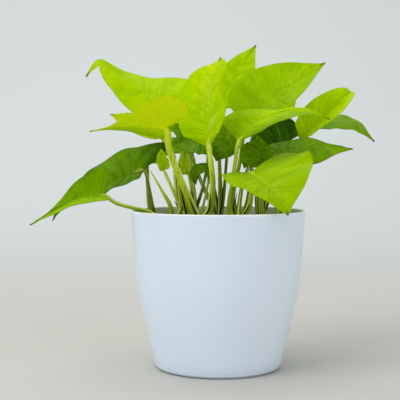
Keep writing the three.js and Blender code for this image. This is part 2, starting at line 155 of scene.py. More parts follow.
class Graph:
    """Builds the nodes of one tree."""

    def __init__(self, tree: bpy.types.NodeTree) -> None:
        """Starts on a tree.

        Args:
            tree: A material's or a modifier's node tree.
        """
        self.tree = tree

    def node(
        self,
        kind: str,
        settings: Mapping[str, Any] | None = None,
        inputs: Mapping[int | str, Any] | None = None,
    ) -> bpy.types.Node:
        """Adds a node.

        Args:
            kind: The node's type.
            settings: What is set on the node first; stops are a ramp's places and colours.
            inputs: What its sockets get, by number or name: a value or a link.

        Returns:
            The node.
        """
        node = self.tree.nodes.new(kind)
        for key, setting in (settings or {}).items():
            if key == "stops":
                self._fill_ramp(node.color_ramp, setting)
            else:
                setattr(node, key, setting)
        for key, given in (inputs or {}).items():
            self.feed(node.inputs[key], given)
        return node

    @staticmethod
    def _fill_ramp(ramp: bpy.types.ColorRamp, stops: Sequence[tuple[float, Colour]]) -> None:
        """Sets a ramp's places and colours.

        Args:
            ramp: The ramp.
            stops: Its places, from 0 to 1, and their colours.
        """
        while len(ramp.elements) < len(stops):
            ramp.elements.new(1.0)
        for element, (place, colour) in zip(ramp.elements, stops):
            element.position = place
            element.color = colour

    def feed(self, socket: bpy.types.NodeSocket, given: Any) -> None:
        """Gives an input socket its value or link.

        Args:
            socket: The input.
            given: A Value, a socket or plain data.
        """
        if isinstance(given, Value):
            given = given.socket
        if isinstance(given, bpy.types.NodeSocket):
            self.tree.links.new(given, socket)
        else:
            socket.default_value = given

    def value(
        self,
        kind: str,
        settings: Mapping[str, Any] | None = None,
        inputs: Mapping[int | str, Any] | None = None,
        output: int | str = 0,
    ) -> Value:
        """Adds a node and wraps one of its outputs, as node does."""
        return Value(self, self.node(kind, settings, inputs).outputs[output])

    def math(self, operation: str, *numbers: Any) -> Value:
        """Adds a Math node on one or two numbers."""
        return self.value("ShaderNodeMath", {"operation": operation}, dict(enumerate(numbers)))

    def split(self, vector: Any) -> tuple[Value, Value, Value]:
        """Gives a vector's three numbers."""
        node = self.node("ShaderNodeSeparateXYZ", None, {0: vector})
        return tuple(Value(self, socket) for socket in node.outputs)

    def join(self, x: Any, y: Any, z: Any) -> Value:
        """Makes a vector of three numbers."""
        return self.value("ShaderNodeCombineXYZ", None, {0: x, 1: y, 2: z})

    def vectors(self, operation: str, *vectors: Any) -> Value:
        """Adds a Vector Math node."""
        settings = {"operation": operation}
        return self.value("ShaderNodeVectorMath", settings, dict(enumerate(vectors)))


class Shader(Graph):
    """Builds one material around a Principled surface."""

    def __init__(self, name: str, **constants: Any) -> None:
        """Makes the material.

        Args:
            name: The material's name.
            constants: Values of the Principled sockets, with _ for each space.
        """
        self.material = bpy.data.materials.new(name)
        self.material.use_nodes = True
        super().__init__(self.material.node_tree)
        self.tree.nodes.clear()
        named = {key.replace("_", " "): value for key, value in constants.items()}
        self.surface = self.node("ShaderNodeBsdfPrincipled", None, named)
        self.output = self.node("ShaderNodeOutputMaterial", None, {0: self.surface.outputs[0]})
        self.place = self.node("ShaderNodeTexCoord").outputs["Object"]

    def noise(
        self,
        scale: float,
        detail: float = 3.0,
        stretch: Point = (1, 1, 1),
        place: Value | None = None,
    ) -> Value:
        """Gives a noise from 0 to 1.

        Args:
            scale: How many lumps there are in a unit of the place.
            detail: How many finer layers it has.
            stretch: How much closer the lumps lie along each axis.
            place: Where the noise is read; without one, the object's own coordinates in metres.

        Returns:
            The noise.
        """
        spot = self.vectors("MULTIPLY", self.place if place is None else place, stretch)
        return self.value("ShaderNodeTexNoise", None, {0: spot, 2: scale, 3: detail, 4: 0.55})

    def attribute(self, name: str) -> Value:
        """Reads a number that the mesh carries."""
        return self.value("ShaderNodeAttribute", {"attribute_name": name}, None, "Fac")

    def ramp(self, number: Any, *stops: tuple[float, Colour]) -> Value:
        """Turns a number into a colour."""
        return self.value("ShaderNodeValToRGB", {"stops": stops}, {0: number})

    def mix(self, share: Any, low: Any, high: Any) -> Value:
        """Mixes two colours, by the share of the second one."""
        inputs = {0: share, 6: low, 7: high}
        return self.value("ShaderNodeMix", {"data_type": "RGBA"}, inputs, 2)

    def paint(self, colour: Any, roughness: Any) -> None:
        """Links the base colour and the roughness."""
        self.feed(self.surface.inputs["Base Color"], colour)
        self.feed(self.surface.inputs["Roughness"], roughness)

    def bump(self, height: Any, depth: float, strength: float = 1.0) -> None:
        """Raises the surface.

        Args:
            height: The height, from 0 to 1.
            depth: How far 1 stands up, in metres.
            strength: How much of the tilt is used.
        """
        inputs = {"Strength": strength, "Distance": depth, "Height": height}
        bump = self.node("ShaderNodeBump", None, inputs)
        self.feed(self.surface.inputs["Normal"], bump.outputs[0])


class Modelling(Graph):
    """Builds one Geometry Nodes tree with named inputs."""

    def __init__(self, name: str, **inputs: str) -> None:
        """Makes the tree.

        Args:
            name: The tree's name.
            inputs: The socket type of each input beside the geometry.
        """
        super().__init__(bpy.data.node_groups.new(name, "GeometryNodeTree"))
        face = self.tree.interface
        face.new_socket(name="Geometry", in_out="OUTPUT", socket_type="NodeSocketGeometry")
        face.new_socket(name="Geometry", in_out="INPUT", socket_type="NodeSocketGeometry")
        for label, kind in inputs.items():
            face.new_socket(name=label, in_out="INPUT", socket_type=f"NodeSocket{kind}")
        self.given = self.node("NodeGroupInput").outputs

    def named(self, name: str, kind: str = "FLOAT") -> Value:
        """Reads an attribute of the geometry."""
        return self.value("GeometryNodeInputNamedAttribute", {"data_type": kind}, {0: name})

    def scatter(self, low: Any, high: Any, seed: Any) -> Value:
        """Draws a random number for each element."""
        inputs = {2: low, 3: high, 8: seed}
        return self.value("FunctionNodeRandomValue", {"data_type": "FLOAT"}, inputs, 1)

    def push(self, geometry: Any, way: Any, reach: Any) -> bpy.types.NodeSocket:
        """Moves every corner.

        Args:
            geometry: What is moved.
            way: The direction of each corner's move.
            reach: How many times that direction it moves.

        Returns:
            The moved geometry.
        """
        move = self.node("ShaderNodeVectorMath", {"operation": "SCALE"}, {0: way, 3: reach})
        inputs = {0: geometry, 3: move.outputs[0]}
        return self.node("GeometryNodeSetPosition", None, inputs).outputs[0]

    def finish(self, geometry: Any) -> None:
        """Ends the tree: what is repeated becomes real and gets its material.

        Args:
            geometry: The last geometry.
        """
        real = self.node("GeometryNodeRealizeInstances", None, {0: geometry}).outputs[0]
        smooth = self.node("GeometryNodeSetShadeSmooth", None, {0: real}).outputs[0]
        inputs = {0: smooth, 2: self.given["Material"]}
        dressed = self.node("GeometryNodeSetMaterial", None, inputs).outputs[0]
        self.node("NodeGroupOutput", None, {0: dressed})

    def run(self, name: str, mesh: bpy.types.Mesh, **inputs: Any) -> bpy.types.Object:
        """Runs the tree on a mesh and keeps the result as a plain mesh.

        Args:
            name: The new piece's name.
            mesh: What goes in.
            inputs: The value of each named input.

        Returns:
            The piece, with no modifier left on it.
        """
        piece = place_object(name, mesh)
        modifier = piece.modifiers.new(self.tree.name, "NODES")
        modifier.node_group = self.tree
        for item in self.tree.interface.items_tree:
            if item.item_type == "SOCKET" and item.in_out == "INPUT" and item.name in inputs:
                modifier[item.identifier] = inputs[item.name]
        view = bpy.context.evaluated_depsgraph_get()
        made = bpy.data.meshes.new_from_object(piece.evaluated_get(view))
        piece.modifiers.remove(modifier)
        piece.data = made
        made.name = name
        return piece


# Meshes and pieces


def place_object(name: str, data: bpy.types.ID) -> bpy.types.Object:
    """Puts a mesh, a light or a camera in the scene.

    Args:
        name: The object's name.
        data: What it shows.

    Returns:
        The object, at the origin and unturned.
    """
    piece = bpy.data.objects.new(name, data)
    bpy.context.scene.collection.objects.link(piece)
    return piece


def make_mesh(
    name: str,
    places: np.ndarray,
    faces: Iterable[Sequence[int]],
    edges: Iterable[tuple[int, int]] = (),
) -> bpy.types.Mesh:
    """Makes a mesh from places in millimetres.

    Args:
        name: The mesh's name.
        places: One row of three numbers for each corner.
        faces: The corners of each face.
        edges: Loose edges, for what is only a path.

    Returns:
        The mesh, in metres.
    """
    mesh = bpy.data.meshes.new(name)
    mesh.from_pydata((np.asarray(places) * MM).tolist(), list(edges), list(faces))
    mesh.update()
    return mesh


def shade(mesh: bpy.types.Mesh, is_smooth: bool) -> None:
    """Shades all the faces of a mesh smooth or flat."""
    mesh.polygons.foreach_set("use_smooth", [is_smooth] * len(mesh.polygons))


def carry(mesh: bpy.types.Mesh, name: str, numbers: np.ndarray) -> None:
    """Stores a number, or a row of three, on each corner of a mesh.

    Args:
        mesh: The mesh.
        name: The attribute's name.
        numbers: One number or row for each corner.
    """
    numbers = np.asarray(numbers, dtype=np.float32)
    kind, key = ("FLOAT", "value") if numbers.ndim == 1 else ("FLOAT_VECTOR", "vector")
    layer = mesh.attributes.new(name, kind, "POINT")
    layer.data.foreach_set(key, numbers.ravel())


def settle(piece: bpy.types.Object, slot: str, *nodes: str) -> None:
    """Hands a finished piece to the frame.

    Args:
        piece: The piece.
        slot: The name of a material slot, which is not used.
        nodes: The solids that it stands for.
    """
    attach(piece, BODY)
    if nodes:
        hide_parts(*nodes)
    count = sum(len(face.vertices) - 2 for face in piece.data.polygons)
    LOG.info("%s: %d triangles", piece.name, count)


def square_to(ways: np.ndarray, ahead: np.ndarray) -> np.ndarray:
    """Turns directions until they stand square to others.

    Args:
        ways: The directions, one to a row.
        ahead: The unit directions that they are turned away from.

    Returns:
        The nearest unit directions that are square to them.
    """
    rest = ways - ahead * np.sum(ways * ahead, axis=-1, keepdims=True)
    return rest / np.linalg.norm(rest, axis=-1, keepdims=True)


class Route:
    """A smooth curve through points, read by shares of its length."""

    SAMPLES = 400
    NUDGE = 1e-4

    def __init__(self, points: Sequence[Point]) -> None:
        """Fits the curve.

        Args:
            points: The places that it passes.
        """
        knots = np.asarray(points, dtype=float)
        first, last = 2 * knots[0] - knots[1], 2 * knots[-1] - knots[-2]
        self.knots = np.vstack([first, knots, last])
        self.pieces = len(knots) - 1
        self.parameters = np.linspace(0, 1, self.SAMPLES + 1)
        steps = np.linalg.norm(np.diff(self._read(self.parameters), axis=0), axis=1)
        self.lengths = np.concatenate([[0.0], np.cumsum(steps)])
        self.length = float(self.lengths[-1])

    def _read(self, parameter: np.ndarray) -> np.ndarray:
        """Reads the curve at its own parameter, by a centripetal Catmull-Rom rule.

        Args:
            parameter: The parameters, from 0 to 1.

        Returns:
            The places.
        """
        scaled = np.clip(parameter, 0, 1) * self.pieces
        index = np.minimum(scaled.astype(int), self.pieces - 1)
        t = (scaled - index)[..., None]
        a, b, c, d = (self.knots[index + offset] for offset in range(4))
        gap_a, gap_b, gap_c = (
            np.sqrt(np.linalg.norm(ahead - behind, axis=-1))[..., None]
            for behind, ahead in ((a, b), (b, c), (c, d))
        )
        leave = gap_b * ((b - a) / gap_a - (c - a) / (gap_a + gap_b) + (c - b) / gap_b)
        reach = gap_b * ((c - b) / gap_b - (d - b) / (gap_b + gap_c) + (d - c) / gap_c)
        square = -3 * b + 3 * c - 2 * leave - reach
        cube = 2 * b - 2 * c + leave + reach
        return b + leave * t + square * t**2 + cube * t**3

    def at(self, share: np.ndarray) -> np.ndarray:
        """Gives the places at shares of the length."""
        along = np.clip(share, 0, 1) * self.length
        return self._read(np.interp(along, self.lengths, self.parameters))

    def ahead(self, share: np.ndarray) -> np.ndarray:
        """Reads the curve's direction.

        Args:
            share: Shares of the length.

        Returns:
            The unit directions there.
        """
        share = np.clip(share, self.NUDGE, 1 - self.NUDGE)
        way = self.at(share + self.NUDGE) - self.at(share - self.NUDGE)
        return way / np.linalg.norm(way, axis=-1, keepdims=True)


def spline(points: Sequence[Pair], share: np.ndarray) -> np.ndarray:
    """Reads a plane Catmull-Rom curve.

    Args:
        points: The places that it passes.
        share: Where to read it, from 0 to 1, with the same share for each stretch.

    Returns:
        One row of two numbers for each share.
    """
    knots = np.asarray(points, dtype=float)
    last = len(knots) - 1
    scaled = np.clip(share, 0, 1) * last
    index = np.minimum(scaled.astype(int), last - 1)
    t = (scaled - index)[..., None]
    a, b, c, d = (knots[np.clip(index + offset, 0, last)] for offset in (-1, 0, 1, 2))
    leave, reach = (c - a) / 2, (d - b) / 2
    square = -3 * b + 3 * c - 2 * leave - reach
    cube = 2 * b - 2 * c + leave + reach
    return b + leave * t + square * t**2 + cube * t**3


def bell(distance: np.ndarray, width: float) -> np.ndarray:
    """Gives a smooth hump, 1 at no distance and near 0 past twice the width."""
    return np.exp(-((distance / width) ** 2))


def smooth(share: np.ndarray, low: float, high: float) -> np.ndarray:
    """Goes smoothly from 0 at low to 1 at high."""
    t = np.clip((share - low) / (high - low), 0, 1)
    return t * t * (3 - 2 * t)


# The pot and the soil


@dataclass(frozen=True)
class GlossPlastic:
    """The finish of the pot: cool white moulded plastic with a soft gloss.

    Its places are in metres. The wall's inside is what lies within inner_foot at no height and
    inner_lean wider for each metre up. A pair says where a zone begins and where it is full.
    """

    name: str = "gloss_white_plastic"
    colour: Colour = srgb(228, 240, 255)
    scuffed: Colour = srgb(212, 223, 238)
    # The lip colour is a painted highlight: a pale line along the top of the rim.
    lip: Colour = srgb(250, 253, 252)
    # The inner colour is painted light: the inside of the wall, which the leaves shade, is painted
    # brighter and warmer.
    inner: Colour = srgb(252, 255, 238)
    roughness: float = 0.2
    waviness: float = 0.00025
    inner_foot: float = 0.0667
    inner_lean: float = 0.06
    inner_from: Pair = (0.112, 0.116)
    lip_highlight_from: Pair = (0.1352, 0.1364)
    foot_wear: float = 0.014

    def material(self) -> bpy.types.Material:
        """Makes the material.

        Returns:
            The material, worn near the foot, with a painted highlight along the lip and painted
            light inside the wall.
        """
        shader = Shader(self.name, IOR=1.5, Coat_Weight=0.35, Coat_Roughness=0.08)
        x, y, height = shader.split(shader.place)
        radius = (x * x + y * y) ** 0.5
        clear = self.inner_foot + height * self.inner_lean - radius
        # Painted light: the inside of the wall takes the brighter, warmer inner colour against the
        # leaves' shade.
        inside = clear.step(0.0, 0.0006) * height.step(*self.inner_from)
        cloud = shader.noise(14.0, 3.0)
        streaks = shader.noise(30.0, 4.0, (1.0, 1.0, 0.25))
        specks = shader.noise(900.0, 2.0).step(0.70, 0.78)
        foot = height.step(self.foot_wear, 0.0)
        worn = (cloud * 0.22 + streaks * 0.12 + foot * 0.4 + specks * 0.25).step(0.1, 0.75)
        side = shader.mix(worn, self.colour, self.scuffed)
        # Painted highlight: the top of the lip is painted paler, where the rim catches the light.
        with_lip_highlight = shader.mix(height.step(*self.lip_highlight_from), side, self.lip)
        shader.paint(
            shader.mix(inside, with_lip_highlight, self.inner),
            self.roughness + worn * 0.16 + streaks * 0.05,
        )
        shader.bump(shader.noise(22.0, 1.0, (1.0, 1.0, 0.5)) + streaks * 0.12, self.waviness, 0.5)
        return shader.material


@dataclass
class Pot:
    """The planter, a profile turned about its axis.

    Ring is the outline of the foot's ring, as places out from the foot's radius and heights.
    Side is the outside of the wall, as radii and heights.
    """

    rim_radius: float = 76.0
    height: float = 137.0
    foot_radius: float = 51.0
    foot_height: float = 1.2
    wall: float = 2.2
    floor: float = 3.5
    fillet: float = 4.0
    lip: float = 0.8
    side_steps: int = 60
    sides: int = 128
    sharp_from: float = 40.0
    ring: tuple[Pair, ...] = ((-4.0, 1.0), (-3.2, 0.2), (-2.4, 0.0), (-0.4, 0.0), (0.0, 0.4))
    side: tuple[Pair, ...] = (
        (55.2, 3.6),
        (59.6, 22.0),
        (66.4, 50.0),
        (71.4, 76.0),
        (74.2, 106.0),
        (76.0, 136.2),
    )
    finish: GlossPlastic = field(default_factory=GlossPlastic)

    def outer_side(self) -> np.ndarray:
        """Gives the outside of the wall as rows of radius and height."""
        return spline(self.side, np.linspace(0, 1, self.side_steps + 1))

    def inner_radius(self, height: np.ndarray) -> np.ndarray:
        """Gives the radius of the wall's inside at heights."""
        outside = self.outer_side()
        return np.interp(height, outside[:, 1], outside[:, 0]) - self.wall

    def profile(self) -> np.ndarray:
        """Draws the whole outline, from the middle of the foot to the middle of the floor.

        Returns:
            Rows of radius and height.
        """
        outside = self.outer_side()
        quarter = np.linspace(0, math.pi / 2, 7)[1:-1]
        radius, height = outside[0]
        bend = height - self.foot_height
        corner = [radius - bend * (1 - np.sin(quarter)), height - bend * np.cos(quarter)]
        under = [
            (0, self.ring[0][1]),
            *((self.foot_radius + out, up) for out, up in self.ring),
            (self.foot_radius, self.foot_height),
            (radius - bend, self.foot_height),
        ]
        half = self.wall / 2
        arc = np.linspace(0, math.pi, 11)[1:-1]
        middle = np.array([self.rim_radius - half, self.height - self.lip])
        lip = middle + np.stack([half * np.cos(arc), self.lip * np.sin(arc)], axis=1)
        inside = outside[outside[:, 1] > self.floor + self.fillet][::-1] - [self.wall, 0]
        base = inside[-1][0]
        cove = [
            base - self.fillet * (1 - np.cos(quarter)),
            self.floor + self.fillet * (1 - np.sin(quarter)),
        ]
        floor = [(base - self.fillet, self.floor), (0, self.floor)]
        turn_in, turn_up = (np.stack(bow, axis=1) for bow in (corner, cove))
        return np.vstack([under, turn_in, outside, lip, inside, turn_up, floor])

    @staticmethod
    def lathe() -> Modelling:
        """Builds the tree that turns a profile about the upright axis.

        Returns:
            The tree.
        """
        tree = Modelling("lathe", Sides="Int", Material="Material")
        profile = tree.given["Geometry"]
        size = tree.node("GeometryNodeAttributeDomainSize", {"component": "MESH"}, {0: profile})
        count = Value(tree, size.outputs["Point Count"])
        inputs = {0: 1.0, 1: 1.0, 2: Value(tree, tree.given["Sides"]) + 1, 3: count}
        sheet = tree.node("GeometryNodeMeshGrid", None, inputs).outputs[0]
        spot = tree.value("GeometryNodeInputPosition")
        across, along, _ = tree.split(spot)
        index = tree.math("ROUND", (along + 0.5) * (count - 1))
        settings = {"data_type": "FLOAT_VECTOR", "domain": "POINT"}
        read = tree.value("GeometryNodeSampleIndex", settings, {0: profile, 1: spot, 2: index})
        radius, _, height = tree.split(read)
        angle = (across + 0.5) * TURN
        place = tree.join(radius * angle.cosine(), radius * angle.sine(), height)
        turned = tree.node("GeometryNodeSetPosition", None, {0: sheet, 2: place}).outputs[0]
        closed = tree.node("GeometryNodeMergeByDistance", None, {0: turned, 2: 2e-6})
        tree.finish(closed.outputs[0])
        return tree

    def build(self) -> None:
        """Makes the pot and hands it to the frame."""
        outline = self.profile()
        places = np.stack([outline[:, 0], np.zeros(len(outline)), outline[:, 1]], axis=1)
        path = make_mesh("pot_profile", places, (), [(i, i + 1) for i in range(len(places) - 1)])
        material = self.finish.material()
        piece = self.lathe().run("planter", path, Sides=self.sides, Material=material)
        face_outwards(piece.data)
        piece.data.set_sharp_from_angle(angle=math.radians(self.sharp_from))
        settle(piece, "pot", "pot")


def face_outwards(mesh: bpy.types.Mesh) -> None:
    """Turns a closed mesh's faces round if they point inwards.

    Args:
        mesh: The mesh, all of whose faces point the same way.
    """
    mesh.calc_loop_triangles()
    corners = np.zeros(len(mesh.vertices) * 3)
    mesh.vertices.foreach_get("co", corners)
    corners = corners.reshape(-1, 3)
    picks = np.zeros(len(mesh.loop_triangles) * 3, dtype=int)
    mesh.loop_triangles.foreach_get("vertices", picks)
    a, b, c = (corners[picks.reshape(-1, 3)[:, i]] for i in range(3))
    if np.einsum("ij,ij->", a, np.cross(b, c)) < 0:
        mesh.flip_normals()


@dataclass(frozen=True)
class PottingMix:
    """The finish of the soil: moist dark peat with lighter fibres."""

    name: str = "potting_mix"
    wet: Colour = srgb(38, 27, 20)
    moist: Colour = srgb(66, 47, 33)
    dry: Colour = srgb(104, 80, 58)
    relief: float = 0.0016

    def material(self) -> bpy.types.Material:
        """Makes the material.

        Returns:
            The material, with clods and fibres.
        """
        shader = Shader(self.name, IOR=1.4)
        clods = shader.noise(160.0, 6.0)
        fibres = shader.noise(700.0, 5.0, (1.0, 0.25, 1.0))
        tone = clods * 0.7 + fibres * 0.3
        ramp = shader.ramp(tone, (0.36, self.wet), (0.52, self.moist), (0.68, self.dry))
        shader.paint(ramp, 0.78 + fibres * 0.2)
        shader.bump(clods + fibres * 0.5, self.relief)
        return shader.material


@dataclass(frozen=True)
class Crumb:
    """A kind of loose piece on the soil, and its finish.

    Size is its smallest and largest half length, flat its height as a share of its length,
    lumpy how uneven it is, and tilt how far it leans at most, in radians. Grain stretches the
    pattern of its finish.
    """

    name: str
    dark: Colour
    light: Colour
    count_per_m2: float
    size: Pair
    flat: float
    lumpy: float
    tilt: float
    seed: int
    roughness: float = 0.85
    relief: float = 0.0004
    grain: Point = (1.0, 1.0, 1.0)

    def material(self) -> bpy.types.Material:
        """Makes the material.

        Returns:
            The material, which varies from crumb to crumb.
        """
        shader = Shader(self.name, IOR=1.45)
        tone = shader.noise(55.0, 1.0) * 0.5 + shader.noise(900.0, 4.0, self.grain) * 0.5
        colour = shader.ramp(tone, (0.38, self.dark), (0.62, self.light))
        shader.paint(colour, self.roughness + tone * 0.1)
        shader.bump(shader.noise(1400.0, 4.0, self.grain), self.relief, 0.8)
        return shader.material


CRUMBS = (
    Crumb(
        "peat_crumbs", srgb(34, 24, 18), srgb(84, 62, 45),
        count_per_m2=130000, size=(0.5, 2.0), flat=0.75, lumpy=0.5, tilt=3.2, seed=3,
    ),
    Crumb(
        "bark_chips", srgb(58, 36, 22), srgb(128, 88, 56),
        count_per_m2=16000, size=(1.6, 4.6), flat=0.32, lumpy=0.3, tilt=0.5, seed=7,
        grain=(0.2, 1.0, 1.0),
    ),
    Crumb(
        "perlite_grains", srgb(196, 192, 182), srgb(236, 233, 226),
        count_per_m2=9000, size=(0.6, 1.7), flat=0.85, lumpy=0.45, tilt=3.2, seed=11,
    ),
)


@dataclass
class Soil:
    """The potting mix that fills the pot, with crumbs, bark and perlite on it."""

    pot: Pot
    feet: Sequence[Pair]
    level: float = 115.0
    gap: float = 0.4
    lump: float = 1.3
    fine_lump: float = 0.35
    mound: float = 1.6
    mound_reach: float = 7.0
    edge_drop: float = 4.0
    bottom_round: Pair = (5.0, 6.0)
    wall_clear: float = 4.0
    stem_clear: float = 5.0
    rings: int = 60
    sides: int = 120
    crumbs: tuple[Crumb, ...] = CRUMBS
    finish: PottingMix = field(default_factory=PottingMix)

    def top(self, x: np.ndarray, y: np.ndarray) -> np.ndarray:
        """Reads the height of the soil.

        Args:
            x: Places to the right.
            y: Places to the back.

        Returns:
            The heights there, with a low mound round each stem.
        """
        long = np.sin(x * 0.11 + 0.6) * np.cos(y * 0.13 - 0.4)
        short = np.sin(x * 0.31 - y * 0.23 + 1.1)
        fine = np.sin(x * 0.9 + y * 0.5) * np.sin(y * 1.1 - x * 0.4 + 2)
        height = self.level + self.lump * (0.7 * long + 0.3 * short) + self.fine_lump * fine
        for foot_x, foot_y in self.feet:
            away = np.hypot(x - foot_x, y - foot_y)
            height = height + self.mound * bell(away, self.mound_reach)
        return height

    def surface(self) -> tuple[np.ndarray, list[tuple[int, ...]]]:
        """Makes the top, ring by ring from the middle.

        Returns:
            Its places and its faces.
        """
        edge = self.pot.inner_radius(np.array(self.level)) - self.gap
        radius = edge * np.linspace(0, 1, self.rings + 1)[1:, None]
        angle = TURN * np.arange(self.sides)[None, :] / self.sides
        x, y = radius * np.cos(angle), radius * np.sin(angle)
        ring = np.stack([x, y, self.top(x, y)], axis=-1).reshape(-1, 3)
        centre = [[0.0, 0.0, float(self.top(np.zeros(()), np.zeros(())))]]
        faces: list[tuple[int, ...]] = []
        for k in range(self.sides):
            beside = (k + 1) % self.sides
            faces.append((0, 1 + k, 1 + beside))
            for i in range(self.rings - 1):
                inner, outer = 1 + i * self.sides, 1 + (i + 1) * self.sides
                faces.append((inner + k, outer + k, outer + beside, inner + beside))
        return np.vstack([centre, ring]), faces

    def body(self) -> bpy.types.Mesh:
        """Makes the closed body of the soil.

        Returns:
            The mesh.
        """
        places, faces = self.surface()
        round_in, round_up = self.bottom_round
        heights = np.linspace(self.level - self.edge_drop, self.pot.floor + round_up, 14)
        radii = self.pot.inner_radius(heights) - self.gap
        lower = [*zip(radii, heights), (radii[-1] - round_in, self.pot.floor + self.gap)]
        angle = TURN * np.arange(self.sides) / self.sides
        rows = [places]
        start = len(places)
        above = start - self.sides
        for radius, height in lower:
            row = [radius * np.cos(angle), radius * np.sin(angle), np.full(self.sides, height)]
            rows.append(np.stack(row, axis=1))
            for k in range(self.sides):
                beside = (k + 1) % self.sides
                faces.append((above + k, start + k, start + beside, above + beside))
            above, start = start, start + self.sides
        faces.append(tuple(range(above + self.sides - 1, above - 1, -1)))
        return make_mesh("potting_mix", np.vstack(rows), faces)

    @staticmethod
    def scatterer() -> Modelling:
        """Builds the tree that strews lumpy crumbs over a surface.

        Returns:
            The tree.
        """
        tree = Modelling(
            "strewn_crumbs",
            Density="Float",
            Smallest="Float",
            Largest="Float",
            Flatness="Float",
            Lumpiness="Float",
            Tilt="Float",
            Seed="Int",
            Material="Material",
        )
        given = {key: Value(tree, tree.given[key]) for key in ("Smallest", "Largest", "Flatness")}
        seed = Value(tree, tree.given["Seed"])
        settings = {"distribute_method": "RANDOM"}
        inputs = {0: tree.given["Geometry"], 4: tree.given["Density"], 6: seed}
        spots = tree.node("GeometryNodeDistributePointsOnFaces", settings, inputs)
        grain = tree.node("GeometryNodeMeshIcoSphere", None, {0: 1.0, 1: 1}).outputs[0]
        size = tree.scatter(given["Smallest"], given["Largest"], seed + 1)
        wide = size * tree.scatter(0.6, 1.0, seed + 2)
        scale = tree.join(size, wide, size * given["Flatness"])
        lean = Value(tree, tree.given["Tilt"])
        tilt = tree.scatter(lean * -1.0, lean, seed + 3)
        roll = tree.scatter(lean * -1.0, lean, seed + 4)
        heading = tree.scatter(0.0, TURN, seed + 5)
        turn = tree.value("FunctionNodeEulerToRotation", None, {0: tree.join(tilt, roll, heading)})
        inputs = {0: spots.outputs[0], 2: grain, 5: turn, 6: scale}
        strewn = tree.node("GeometryNodeInstanceOnPoints", None, inputs).outputs[0]
        real = tree.node("GeometryNodeRealizeInstances", None, {0: strewn}).outputs[0]
        spot = tree.value("GeometryNodeInputPosition")
        noise = tree.value("ShaderNodeTexNoise", None, {0: spot, 2: 700.0, 3: 1.0}, 1)
        centred = tree.vectors("SUBTRACT", noise, (0.5, 0.5, 0.5))
        reach = given["Largest"] * Value(tree, tree.given["Lumpiness"]) * 2.0
        tree.finish(tree.push(real, centred, reach))
        return tree

    def build(self) -> None:
        """Makes the soil and what lies on it, and hands them to the frame."""
        mix = place_object("potting_mix", self.body())
        mix.data.materials.append(self.finish.material())
        shade(mix.data, True)
        settle(mix, "soil", "soil")
        places, faces = self.surface()
        inside = [face for face in faces if self.is_open(places[list(face)])]
        tree = self.scatterer()
        for crumb in self.crumbs:
            piece = tree.run(
                crumb.name,
                make_mesh(f"{crumb.name}_bed", places, inside),
                Density=crumb.count_per_m2,
                Smallest=crumb.size[0] * MM,
                Largest=crumb.size[1] * MM,
                Flatness=crumb.flat,
                Lumpiness=crumb.lumpy,
                Tilt=crumb.tilt,
                Seed=crumb.seed,
                Material=crumb.material(),
            )
            shade(piece.data, False)
            settle(piece, "soil")

    def is_open(self, corners: np.ndarray) -> bool:
        """Says whether a stretch of soil is clear of the wall and of every stem.

        Args:
            corners: Its corners.

        Returns:
            Whether crumbs may lie there.
        """
        x, y, _ = corners.mean(axis=0)
        edge = self.pot.inner_radius(np.array(self.level)) - self.wall_clear
        away = (math.hypot(x - foot_x, y - foot_y) for foot_x, foot_y in self.feet)
        return math.hypot(x, y) < edge and min(away) > self.stem_clear


# Leaves and stalks


class LeafAge(Enum):
    """How old a leaf is, which chooses its finish."""

    YOUNG = 0.0
    GROWN = 0.4
    OLD = 0.6

    @classmethod
    def of(cls, age: float) -> "LeafAge":
        """Gives the last age that a leaf has reached."""
        return max((step for step in cls if step.value <= age), key=lambda step: step.value)


LEAF_TONES = (
    (-0.1, srgb(255, 255, 0)),
    (-0.02, srgb(246, 253, 0)),
    (0.05, srgb(226, 250, 0)),
    (0.1, srgb(213, 247, 0)),
    (0.3, srgb(168, 210, 0)),
    (0.48, srgb(136, 182, 0)),
    (0.62, srgb(110, 156, 2)),
    (0.78, srgb(78, 122, 6)),
    (0.95, srgb(26, 80, 10)),
)


def leaf_colour(shader: Shader, age: Value) -> Value:
    """Gives the colour that a blade has at an age, where 0 is a young lime leaf.

    Args:
        shader: The shader that paints it.
        age: The age, a little under 0 for the yellowest places.

    Returns:
        The colour.
    """
    return shader.ramp(age * 0.9 + 0.1, *((at * 0.9 + 0.1, colour) for at, colour in LEAF_TONES))


